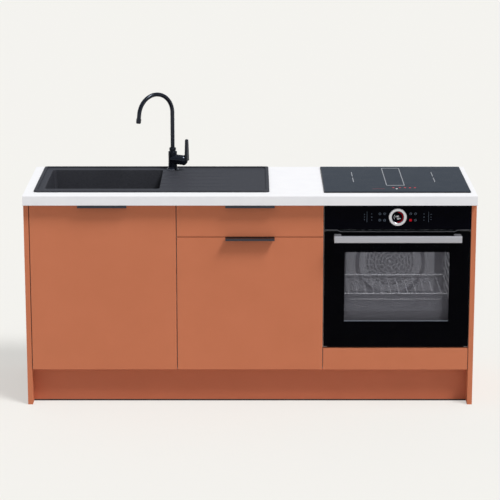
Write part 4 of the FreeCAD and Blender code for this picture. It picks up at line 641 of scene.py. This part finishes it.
class KitchenColours(bpy.types.PropertyGroup):
    """Colours of the finishes that a buyer chooses."""
    front: FloatVectorProperty(
        name="Fronts", description="Lacquer of the doors, drawer front, filler and end panels",
        subtype="COLOR", size=4, default=linear("#cb7a58"))
    front_shade: FloatVectorProperty(
        name="Fronts, shade", description="Slightly deeper patches of the lacquer",
        subtype="COLOR", size=4, default=linear("#c77755"))
    # The plinth's colour is painted shade: deeper and redder than the fronts, for the shade of its
    # recess under the doors.
    plinth: FloatVectorProperty(
        name="Plinth", description="Lacquer of the plinth, a little deeper than the fronts",
        subtype="COLOR", size=4, default=linear("#cb7455"))
    plinth_shade: FloatVectorProperty(
        name="Plinth, shade", description="Slightly deeper patches of the plinth's lacquer",
        subtype="COLOR", size=4, default=linear("#c77152"))
    worktop: FloatVectorProperty(
        name="Worktop", description="Laminate of the worktop",
        subtype="COLOR", size=4, default=linear("#f2f2f4"))
    worktop_shade: FloatVectorProperty(
        name="Worktop, shade", description="Slightly greyer patches of the laminate",
        subtype="COLOR", size=4, default=linear("#efeff2"))
    sink: FloatVectorProperty(
        name="Sink", description="Main grain of the composite sink",
        subtype="COLOR", size=4, default=linear("#3c3d43"))
    sink_shade: FloatVectorProperty(
        name="Sink, dark grain", description="Darkest grain of the composite sink",
        subtype="COLOR", size=4, default=linear("#313237"))
    sink_fleck: FloatVectorProperty(
        name="Sink, pale grain", description="Few pale grains of the composite sink",
        subtype="COLOR", size=4, default=linear("#5a5b60"))
    pull: FloatVectorProperty(
        name="Pulls", description="Anodised colour of the edge pulls",
        subtype="COLOR", size=4, default=linear("#4a494f"))
    pull_shade: FloatVectorProperty(
        name="Pulls, lines", description="Brush lines of the edge pulls",
        subtype="COLOR", size=4, default=linear("#3f3e44"))
    tap: FloatVectorProperty(
        name="Tap", description="Coat of the tap",
        subtype="COLOR", size=4, default=linear("#10121a"))
    tap_shade: FloatVectorProperty(
        name="Tap, shade", description="Deeper patches of the tap's coat",
        subtype="COLOR", size=4, default=linear("#0b0c13"))
    hob: FloatVectorProperty(
        name="Hob", description="Glass of the hob",
        subtype="COLOR", size=4, default=linear("#1f252e"))
    hob_shade: FloatVectorProperty(
        name="Hob, shade", description="Wiped patches of the hob's glass",
        subtype="COLOR", size=4, default=linear("#1a2028"))
    backdrop: FloatVectorProperty(
        name="Backdrop", description="Studio paper behind and below the unit",
        subtype="COLOR", size=4, default=linear("#f4f3ef"))


class KitchenSizes(bpy.types.PropertyGroup):
    """Sizes of the printed marks, fasteners and stage."""
    ink: FloatProperty(
        name="Ink", description="Thickness of a printed mark", unit="LENGTH", default=0.1 * MM)
    hob_line: FloatProperty(
        name="Hob line", description="Width of the hob's printed lines",
        unit="LENGTH", default=3.0 * MM)
    hob_corner: FloatProperty(
        name="Hob corner", description="Corner radius of the hob's glass",
        unit="LENGTH", default=6.0 * MM)
    hob_bevel: FloatProperty(
        name="Hob bevel", description="Bevel of the hob's glass", unit="LENGTH", default=1.5 * MM)
    hob_dot: FloatProperty(
        name="Hob dot", description="Radius of a touch mark on the hob",
        unit="LENGTH", default=4.5 * MM)
    key: FloatProperty(
        name="Oven key", description="Radius of a key on the oven panel",
        unit="LENGTH", default=5.0 * MM)
    stroke: FloatProperty(
        name="Key stroke", description="Line width of a key's outline",
        unit="LENGTH", default=1.3 * MM)
    window_side: FloatProperty(
        name="Window side", description="Black border beside the oven window",
        unit="LENGTH", default=83.5 * MM)
    window_bottom: FloatProperty(
        name="Window bottom", description="Black border below the oven window",
        unit="LENGTH", default=107 * MM)
    window_top: FloatProperty(
        name="Window top", description="Black border above the oven window",
        unit="LENGTH", default=92.5 * MM)
    sill: FloatProperty(
        name="Window edge", description="Pale line along the foot of the oven window",
        unit="LENGTH", default=3.0 * MM)
    # The fan cover's dark band is painted shade on the cover's rim.
    fan_shade_band: FloatProperty(
        name="Fan band", description="Middle radius of the dark band on the fan cover",
        unit="LENGTH", default=141.4 * MM)
    fan_shade_band_width: FloatProperty(
        name="Fan band width", description="Width of the dark band on the fan cover",
        unit="LENGTH", default=14.8 * MM)
    # The black edge band on the oven's deck is painted shade in the gap under the oven door.
    deck_shade_strip: FloatProperty(
        name="Board edge", description="Height of the edge band on the oven's deck",
        unit="LENGTH", default=17.5 * MM)
    screw: FloatProperty(
        name="Screw head", description="Radius of a fitting's screw head",
        unit="LENGTH", default=3.6 * MM)
    screw_rise: FloatProperty(
        name="Screw rise", description="Height of a screw head under its rim",
        unit="LENGTH", default=1.6 * MM)
    camera_distance: FloatProperty(
        name="Camera distance", description="Camera in front of the origin",
        unit="LENGTH", default=8.61)
    camera_height: FloatProperty(
        name="Camera height", description="Camera above the floor", unit="LENGTH", default=2.6793)
    camera_tilt: FloatProperty(
        name="Camera tilt", description="How far the camera looks down",
        subtype="ANGLE", default=0.2374)
    lens: FloatProperty(
        name="Lens", description="Focal length on a 36 mm wide sensor",
        unit="CAMERA", default=151.8)
    floor: FloatProperty(
        name="Floor", description="Side of the floor sheet", unit="LENGTH", default=120.0)


class KITCHEN_OT_fronts(bpy.types.Operator):
    """Lacquer the doors, drawer front, filler, end panels and plinth, and finish the pulls"""
    bl_idname = "kitchen.fronts"
    bl_label = "Fronts and pulls"

    def execute(self, context):
        colours = context.scene.kitchen_colours
        coat(lacquered_fibreboard("Lacquered_fibreboard", colours.front, colours.front_shade),
             "sink_door", "cupboard_door", "drawer_front", "oven_filler_panel", "end_panels")
        # The plinth's deeper lacquer is painted shade of its recess under the doors.
        coat(lacquered_fibreboard("Lacquered_plinth_fibreboard", colours.plinth,
                                  colours.plinth_shade), "plinth_panel")
        # Folded sheet, brushed along its length and anodised: dark with a dull glint.
        coat(brushed_metal("Anodised_aluminium_anthracite", colours.pull, colours.pull_shade,
                           0.42, (90, 0.9, 0.9)),
             "sink_door_pull", "cupboard_door_pull", "drawer_pull")
        return {"FINISHED"}


class KITCHEN_OT_carcass(bpy.types.Operator):
    """Finish the boards, legs, clips and seals, and band the edge of the oven's deck in black as
    painted shade
    """
    bl_idname = "kitchen.carcass"
    bl_label = "Carcass"

    def execute(self, context):
        sizes = context.scene.kitchen_sizes
        coat(melamine_chipboard(), "unit_sides", "unit_floors", "unit_rails", "unit_shelves",
             "drawer_unit_back", "drawer_box")
        coat(moulded_plastic("Moulded_black_polypropylene", "#18181a", "#222224", 0.5),
             "adjustable_legs", "plinth_clips")
        # Extruded rubber: black and dull, with dust-grey patches.
        coat(moulded_plastic("Extruded_soft_rubber", "#151516", "#1f1f20", 0.72, 2.0, 0.3),
             "plinth_seal", "oven_door_seal")
        # Painted shade: an edge band on the oven's deck, black for the shade in the gap under the
        # oven door.
        centre_x = middle("oven_cavity").x
        half_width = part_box("unit_shelves")[1].x - centre_x
        band_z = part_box("oven_casing")[0].z - sizes.deck_shade_strip / 2
        band = placed(edge_strip(2 * half_width, sizes.deck_shade_strip, sizes.ink),
                      (centre_x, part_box("unit_sides")[0].y, band_z), OUT)
        shade_band_finish = moulded_plastic("Black_ABS_edge_band", "#08080a", "#0c0c0e", 0.5)
        settled([band], "oven_deck_edge_band", shade_band_finish, "carcass")
        return {"FINISHED"}


class KITCHEN_OT_worktop(bpy.types.Operator):
    """Laminate the worktop"""
    bl_idname = "kitchen.worktop"
    bl_label = "Worktop"

    def execute(self, context):
        coat(laminate_worktop(context.scene.kitchen_colours), "worktop")
        return {"FINISHED"}


class KITCHEN_OT_sink(bpy.types.Operator):
    """Finish the sink, its waste, basket and trap"""
    bl_idname = "kitchen.sink"
    bl_label = "Sink"

    def execute(self, context):
        coat(granite_composite(context.scene.kitchen_colours), "sink")
        coat(chrome_plate("Polished_stainless_steel", "#b9babb", 0.1, 0.2),
             "sink_waste", "strainer_basket")
        coat(moulded_plastic("Moulded_white_polypropylene", "#e6e6e4", "#efefed", 0.35, 2.5, 0.12),
             "bottle_trap")
        return {"FINISHED"}


class KITCHEN_OT_tap(bpy.types.Operator):
    """Finish the tap"""
    bl_idname = "kitchen.tap"
    bl_label = "Tap"

    def execute(self, context):
        coat(powder_black(context.scene.kitchen_colours),
             "tap_body", "tap_spout", "tap_aerator", "tap_lever")
        # Dark chromium over turned brass: a soft grey gleam round the tap's foot.
        coat(brushed_metal("Dark_chromed_brass", linear("#8a8b91"), linear("#6f7076"), 0.25, 6),
             "tap_base_ring")
        coat(moulded_plastic("Moulded_grey_acetal", "#8c8d90", "#9b9c9f", 0.4), "tap_cartridge")
        return {"FINISHED"}


class KITCHEN_OT_hob(bpy.types.Operator):
    """Finish the hob and the steel casings, and print the cooking zones and touch marks"""
    bl_idname = "kitchen.hob"
    bl_label = "Hob"

    def execute(self, context):
        sizes = context.scene.kitchen_sizes
        ink, line = sizes.ink, sizes.hob_line
        coat(glass_ceramic(context.scene.kitchen_colours), "hob_glass")
        coat(galvanised_sheet(), "hob_casing", "oven_casing", "oven_fan_motor", "oven_hinge_lugs")
        # Varnished windings: warm copper, ridged by the wire.
        coat(brushed_metal("Wound_copper_wire", linear("#b8734a"), linear("#8a4f30"), 0.35, 3),
             "hob_coils")
        low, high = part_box("hob_glass")
        front_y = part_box("worktop")[0].y

        def lay(piece, x, depth):
            """Lay a mark on the glass."""
            return placed(piece, (x * MM, front_y + depth * MM, high.z))

        length = (ZONE_DEPTH[1] - ZONE_DEPTH[0]) * MM
        width = (ZONE_X[1] - ZONE_X[0]) * MM
        zones = [lay(ink_bar(line, length + line, ink), x, sum(ZONE_DEPTH) / 2) for x in ZONE_X]
        zones += [lay(ink_bar(width, ZONE_END_LINES * line, ink), sum(ZONE_X) / 2, depth)
                  for depth in ZONE_DEPTH]
        zones += [lay(ink_bar(line, DASH_LENGTH * MM, ink), x, depth)
                  for x in DASH_X for depth in DASH_DEPTH]
        settled(zones, "hob_zone_print", screen_ink("Pale_grey_screen_ink", "#a9abb0"),
                "carcass")
        dots = [lay(ink_dot(sizes.hob_dot, ink), x, TOUCH_DEPTH) for x in TOUCH_X]
        dots.append(lay(ink_bar(SLIDER_LENGTH * MM, line / 4, ink), SLIDER_X, POWER_DEPTH))
        settled(dots, "hob_touch_marks", screen_ink("Red_lit_touch_mark", "#d0414a", 0.35),
                "carcass")
        power = lay(ink_dot(sizes.hob_dot, ink), POWER_X, POWER_DEPTH)
        settled([power], "hob_power_mark", screen_ink("White_lit_touch_mark", "#f0f0f0", 0.3),
                "carcass")

        wide = high.x - low.x - 2 * sizes.hob_corner
        deep = high.y - low.y - 2 * sizes.hob_corner
        tall = high.z - low.z - sizes.hob_bevel
        x, y, z = (low.x + high.x) / 2, (low.y + high.y) / 2, low.z + tall / 2
        sides = [placed(edge_strip(*size, ink), place, facing) for size, place, facing in (
            ((wide, tall), (x, low.y, z), OUT), ((wide, tall), (x, high.y, z), BACK),
            ((tall, deep), (low.x, y, z), LEFT), ((tall, deep), (high.x, y, z), RIGHT))]
        settled(sides, "hob_ground_edge", screen_ink("Black_edge_coat", "#050507"),
                "carcass")
        return {"FINISHED"}


class KITCHEN_OT_oven_inside(bpy.types.Operator):
    """Finish the oven's inside, and add the fan cover's screws and a dark band of painted shade on
    its rim
    """
    bl_idname = "kitchen.oven_inside"
    bl_label = "Oven inside"

    def execute(self, context):
        sizes = context.scene.kitchen_sizes
        low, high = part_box("oven_fan_cover")
        # Painted shade: behind the fan cover's face, the cavity's back wall and the cover's own
        # sides are painted near-black, where little light reaches.
        shade_behind_cover = (low.y + SHADE_BEHIND_COVER * MM,
                        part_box("oven_cavity")[1].y + SHADE_BEHIND_COVER * MM)
        coat(vitreous_enamel("Grey_vitreous_enamel", "#2e2f33", "#36373b", "#5c5d61",
                             shade_behind_cover), "oven_cavity")
        coat(vitreous_enamel("Pale_grey_vitreous_enamel", "#8e8f94", "#999a9f", "#b0b1b5",
                             shade_behind_cover), "oven_fan_cover")
        coat(vitreous_enamel("Blue_grey_vitreous_enamel", "#292d34", "#33383f", "#59606a"),
             "oven_tray")
        # The shelf's wires, side racks included, are darker between the shelf's front and back
        # rods.
        front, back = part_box("oven_wire_shelf")
        between_rods = (front.y + DARKER_BEHIND_ROD * MM, back.y - DARKER_BEHIND_ROD * MM)
        coat(chrome_plate("Chrome_plated_wire", "#d4d6dc", 0.35, 0.5, 0.1, between_rods),
             "oven_side_racks", "oven_wire_shelf")
        # Steel tube and sheet that heat has browned and blued: dark and dull.
        coat(brushed_metal("Oxidised_element_tube", linear("#6b625c"), linear("#4f4844"), 0.5, 6,
                           metallic=0.8), "oven_ring_element")
        coat(brushed_metal("Heat_blued_steel", linear("#26272b"), linear("#1b1c1f"), 0.5, 5,
                           metallic=0.5), "oven_fan_wheel")
        centre = middle("oven_fan_cover")
        # Painted shade: a dark enamel band on the fan cover's face, where its rim lies in shade.
        band = placed(ink_arc(sizes.fan_shade_band, sizes.fan_shade_band_width, 0, 360, sizes.ink, 72),
                      (centre.x, low.y, centre.z), OUT)
        dark = vitreous_enamel("Dark_vitreous_enamel", "#303135", "#38393d", "#4f5054")
        settled([band], "fan_cover_band", dark, "carcass")
        inset = COVER_SCREW_INSET * MM
        spots = [(x, low.y + COVER_FACE * MM, z) for x in (low.x + inset, high.x - inset)
                 for z in (low.z + inset, high.z - inset)]
        screws(spots, OUT, "fan_cover_screws", "carcass")
        return {"FINISHED"}


class KITCHEN_OT_oven_front(bpy.types.Operator):
    """Finish the oven's panel, ring and door, and print the window, the keys and the display"""
    bl_idname = "kitchen.oven_front"
    bl_label = "Oven front"

    def execute(self, context):
        sizes = context.scene.kitchen_sizes
        self.finish_pieces()
        self.print_window(sizes)
        self.print_keys(sizes)
        self.print_display(sizes.ink)
        return {"FINISHED"}

    def finish_pieces(self):
        """Glass, aluminium and coated pieces of the panel and the door."""
        coat(fascia_glass(), "oven_control_panel", "oven_display")
        # Drawn bars, brushed along their length and anodised: a long soft gleam.
        coat(brushed_metal("Satin_anodised_aluminium", linear("#bdbdc3"), linear("#ababb1"), 0.38,
                           (120, 0.8, 0.8), metallic=0.75), "oven_door_handle")
        coat(brushed_metal("Dark_anodised_aluminium", linear("#8b8c92"), linear("#7a7b81"), 0.42,
                           (120, 0.8, 0.8)), "oven_door_trim")
        # Turned on a lathe and satin finished: pale, with an even fine grain.
        coat(brushed_metal("Turned_satin_aluminium", linear("#dadade"), linear("#cdcdd2"), 0.3,
                           1.2, 0.15), "oven_control_ring")
        coat(tinted_glass("Smoked_toughened_glass", "#020205", 0.12), "oven_door_glass")
        coat(tinted_glass("Heat_reflecting_glass", "#84838b", 0.6), "oven_inner_glass")
        coat(moulded_plastic("Black_coated_aluminium", "#060609", "#0a0a0e", 0.4),
             "oven_door_frame")

    def print_window(self, sizes):
        """Black border on the back of the door's glass, and the pale line at the window's foot."""
        low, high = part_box("oven_door_glass")
        inset = PRINT_INSET * MM
        room = (low.x + inset, high.x - inset, low.z + inset, high.z - PRINT_TOP_INSET * MM)
        window = (low.x + sizes.window_side, high.x - sizes.window_side,
                  low.z + sizes.window_bottom, high.z - sizes.window_top)
        print_y = high.y - PRINT_SUNK * MM
        border = placed(ink_border(window, room, sizes.ink), (0, print_y, 0), OUT)
        settled([border], "oven_door_print", screen_ink("Black_screen_ink", "#040407"),
                "oven_door")
        sill = placed(edge_strip(window[1] - window[0], sizes.sill, sizes.ink),
                      ((window[0] + window[1]) / 2, print_y, window[2] + sizes.sill / 2), OUT)
        settled([sill], "oven_window_edge", screen_ink("Pale_blue_grey_screen_ink", "#8d95a2"),
                "oven_door")

    def print_keys(self, sizes):
        """Round keys with a bar in each, and dashes, dots and a rule to either side."""
        ink, key, stroke = sizes.ink, sizes.key, sizes.stroke
        marks = []
        for across in KEYS_ACROSS:
            for up in KEYS_UP:
                if (across, up) != RED_KEY:
                    ring = ink_arc(key - stroke / 2, stroke, 0, 360, ink)
                    marks.append(on_panel(ring, across, up))
                    marks.append(on_panel(ink_bar(key * KEY_BAR, stroke, ink), across, up))
        for side in (-1, 1):
            for up in LEVELS_UP:
                length = LEVEL_LENGTH if up else LEVEL_MIDDLE_LENGTH
                dash = ink_bar(length * MM, LEVEL_WIDTH * MM, ink)
                marks.append(on_panel(dash, side * LEVEL_ACROSS, up))
                dot = ink_dot(DOT_RADIUS * MM, ink)
                marks.append(on_panel(dot, side * DOT_ACROSS, up * DOT_SPREAD))
            rule = ink_bar(RULE_WIDTH * MM, RULE_LENGTH * MM, ink)
            marks.append(on_panel(rule, side * RULE_ACROSS, RULE_UP))
        settled(marks, "oven_key_print", screen_ink("Blue_grey_screen_ink", "#66717f", 0.05),
                "carcass")

        arc = ink_arc(radius=20.6 * MM, width=1.8 * MM, start=-96, sweep=182, ink=ink)
        arc = on_panel(arc, 0, 0, "oven_display")
        red_key = on_panel(ink_bar(2 * key, 2 * key, ink, soft=0.12), *RED_KEY)
        settled([arc, red_key], "oven_red_marks", screen_ink("Red_lit_display", "#a8121d", 0.45),
                "carcass")

    def print_display(self, ink):
        """A number, a short arc and two bars, lit white."""
        lit = [on_panel(piece, across, up, "oven_display") for piece, across, up in (
            (ink_number("180", 11 * MM, ink), -3.0, 3.0),
            (ink_arc(15.5 * MM, 1.0 * MM, 140, 70, ink, 10), 0, 0),
            (ink_bar(15 * MM, 1.6 * MM, ink), 4.0, -4.5),
            (ink_bar(9 * MM, 1.2 * MM, ink), 1.0, -8.5))]
        settled(lit, "oven_display_marks", screen_ink("White_lit_display", "#d8dade", 0.4),
                "carcass")


class KITCHEN_OT_fittings(bpy.types.Operator):
    """Finish the hinges, runners and pins, and add the hinges' screws and the door buffers"""
    bl_idname = "kitchen.fittings"
    bl_label = "Fittings"

    def execute(self, context):
        clear = moulded_plastic("Clear_soft_polyurethane", "#c9c9c4", "#d5d5d0", 0.3, 3.0, 0.05)
        coat(zinc_plate(), "hinge_arms", "sink_door_hinge_cups", "cupboard_door_hinge_cups",
             "drawer_runner_cabinet", "drawer_runner_middle", "drawer_runner_inner", "shelf_pins",
             "tap_fixing_nut")
        inner_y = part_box("sink_door")[1].y
        plate_spots = []
        for door, unit_left in UNIT_LEFT.items():
            low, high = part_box(door)
            hinges = [(z, side) for z in (low.z + HINGE_UP * MM, high.z - HINGE_DOWN * MM)
                      for side in (-1, 1)]
            cup_spots = [(low.x + CUP_IN * MM, inner_y + CUP_FLANGE * MM,
                          z + side * CUP_SCREW_SPREAD * MM) for z, side in hinges]
            screws(cup_spots, BACK, door + "_cup_screws", door)
            plate_spots += [((unit_left + PLATE_IN) * MM, inner_y + PLATE_BEHIND * MM,
                             z + side * PLATE_SCREW_SPREAD * MM) for z, side in hinges]
            buffer_spots = [(high.x - BUFFER_IN * MM, inner_y - BUFFER_SUNK * MM, z)
                            for z in (low.z + BUFFER_UP * MM, high.z - BUFFER_DOWN * MM)]
            buffers = repeated(screw_head(BUFFER_RADIUS * MM, BUFFER_RISE * MM), buffer_spots, BACK)
            settled(buffers, door + "_buffers", clear, door)
        screws(plate_spots, RIGHT, "hinge_plate_screws", "carcass")
        return {"FINISHED"}


def stood(name, data, place, turn):
    """A lamp or camera of the stage, stood at a place and turned."""
    holder = bpy.data.objects.new(name, data)
    bpy.context.scene.collection.objects.link(holder)
    holder.location = place
    holder.rotation_euler = turn
    return holder


def background_seen(owner):
    """A node that is 1 where a ray shows the background: straight, mirrored or through glass."""
    path = add_node(owner, "ShaderNodeLightPath")
    direct = add_node(owner, "ShaderNodeMath", {"operation": "MAXIMUM"},
                      {0: (path, "Is Camera Ray"), 1: (path, "Is Transmission Ray")})
    return add_node(owner, "ShaderNodeMath", {"operation": "MAXIMUM"},
                    {0: (direct, "Value"), 1: (path, "Is Glossy Ray")})


def studio_world(colours):
    """Plain even light all round; where it is seen, a pale backdrop that greys with height."""
    world = bpy.data.worlds.new("Studio")
    world.use_nodes = True
    world.node_tree.nodes.clear()
    seen = background_seen(world)
    lit = add_node(world, "ShaderNodeBackground",
                   {"Color": (1, 1, 1, 1), "Strength": WORLD_STRENGTH})
    place = add_node(world, "ShaderNodeTexCoord")
    height = add_node(world, "ShaderNodeSeparateXYZ", None, {0: (place, "Generated")})
    stops = [(0.05, colours.backdrop), (0.17, linear("#7f8894")), (1.0, linear("#b9bec6"))]
    fade = add_node(world, "ShaderNodeValToRGB", {"stops": stops}, {"Fac": (height, "Z")})
    shown = add_node(world, "ShaderNodeBackground", {"Strength": 1.0}, {"Color": (fade, "Color")})
    both = add_node(world, "ShaderNodeMixShader", None,
                    {0: (seen, "Value"), 1: (lit, "Background"), 2: (shown, "Background")})
    add_node(world, "ShaderNodeOutputWorld", None, {"Surface": (both, "Shader")})
    return world


def studio_paper(colours):
    """Matt studio paper: pale with a light shadow where it is seen, greyer in what it bounces."""
    made = shaded("Matt_studio_paper", {"Roughness": 0.9, "Specular IOR Level": 0.0})
    seen = background_seen(made)
    paper = add_node(made, "ShaderNodeMix",
                     {"data_type": "RGBA", MIX_A: linear("#c4c4c4"), MIX_B: linear("#e4e3df")},
                     {MIX_SHARE: (seen, "Value")})
    feed(made, paper, MIX_RESULT, "Base Color")
    evened = add_node(made, "ShaderNodeMath", {"operation": "MULTIPLY", 1: EVENED_SHARE},
                      {0: (seen, "Value")})
    plain = add_node(made, "ShaderNodeEmission", {"Color": colours.backdrop, "Strength": 1.0})
    nodes = made.node_tree.nodes
    both = add_node(made, "ShaderNodeMixShader", None,
                    {0: (evened, "Value"), 1: (nodes["Principled BSDF"], "BSDF"),
                     2: (plain, "Emission")})
    made.node_tree.links.new(both.outputs["Shader"], nodes["Material Output"].inputs["Surface"])
    # Its glow lights nothing else, so it isn't sampled as a lamp.
    made.cycles.emission_sampling = "NONE"
    return made


class KITCHEN_OT_stage(bpy.types.Operator):
    """Lay the floor, set the light and aim the camera"""
    bl_idname = "kitchen.stage"
    bl_label = "Stage"

    def execute(self, context):
        colours, sizes = context.scene.kitchen_colours, context.scene.kitchen_sizes
        deselect()
        bpy.ops.mesh.primitive_plane_add(size=sizes.floor)
        floor = context.object
        floor.name = "studio_floor"
        floor.data.materials.append(studio_paper(colours))
        context.scene.world = studio_world(colours)

        sun = bpy.data.lights.new("Key", "SUN")
        sun.energy = SUN_STRENGTH
        sun.angle = SUN_SPREAD
        stood("Key", sun, SUN_PLACE, SUN_TURN)
        bulb = bpy.data.lights.new("Oven_lamp", "AREA")
        bulb.energy = OVEN_LAMP_POWER
        bulb.shape = "RECTANGLE"
        bulb.size, bulb.size_y = OVEN_LAMP_SIZE
        low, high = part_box("oven_cavity")
        bulb_place = ((low.x + high.x) / 2, low.y + OVEN_LAMP_BEHIND, high.z - OVEN_LAMP_BELOW)
        stood("Oven_lamp", bulb, bulb_place, OVEN_LAMP_TURN).visible_camera = False

        camera = bpy.data.cameras.new("Camera")
        camera.sensor_width = SENSOR_WIDTH
        camera.lens = sizes.lens
        camera.clip_end = VIEW_END
        context.scene.camera = stood("Camera", camera,
                                     (0, -sizes.camera_distance, sizes.camera_height),
                                     (math.radians(90) - sizes.camera_tilt, 0, 0))
        context.scene.view_settings.view_transform = "Standard"
        return {"FINISHED"}


OPERATORS = (KITCHEN_OT_fronts, KITCHEN_OT_carcass, KITCHEN_OT_worktop, KITCHEN_OT_sink,
             KITCHEN_OT_tap, KITCHEN_OT_hob, KITCHEN_OT_oven_inside, KITCHEN_OT_oven_front,
             KITCHEN_OT_fittings, KITCHEN_OT_stage)


class KITCHEN_PT_panel(bpy.types.Panel):
    """Buttons for every group of pieces"""
    bl_label = "Kitchen base unit"
    bl_idname = "KITCHEN_PT_panel"
    bl_space_type = "VIEW_3D"
    bl_region_type = "UI"
    bl_category = "Kitchen unit"

    def draw(self, context):
        for operator in OPERATORS:
            self.layout.operator(operator.bl_idname)


CLASSES = (KitchenColours, KitchenSizes) + OPERATORS + (KITCHEN_PT_panel,)


def register():
    """Add the classes and the scene's properties."""
    for item in CLASSES:
        bpy.utils.register_class(item)
    bpy.types.Scene.kitchen_colours = PointerProperty(type=KitchenColours)
    bpy.types.Scene.kitchen_sizes = PointerProperty(type=KitchenSizes)


def unregister():
    """Take the classes and properties away again."""
    del bpy.types.Scene.kitchen_colours
    del bpy.types.Scene.kitchen_sizes
    for item in reversed(CLASSES):
        bpy.utils.unregister_class(item)


def main():
    """Finish the pieces in order and set the stage."""
    register()
    bpy.ops.kitchen.fronts()
    bpy.ops.kitchen.carcass()
    bpy.ops.kitchen.worktop()
    bpy.ops.kitchen.sink()
    bpy.ops.kitchen.tap()
    bpy.ops.kitchen.hob()
    bpy.ops.kitchen.oven_inside()
    bpy.ops.kitchen.oven_front()
    bpy.ops.kitchen.fittings()
    bpy.ops.kitchen.stage()


if __name__ == "__main__":
    main()
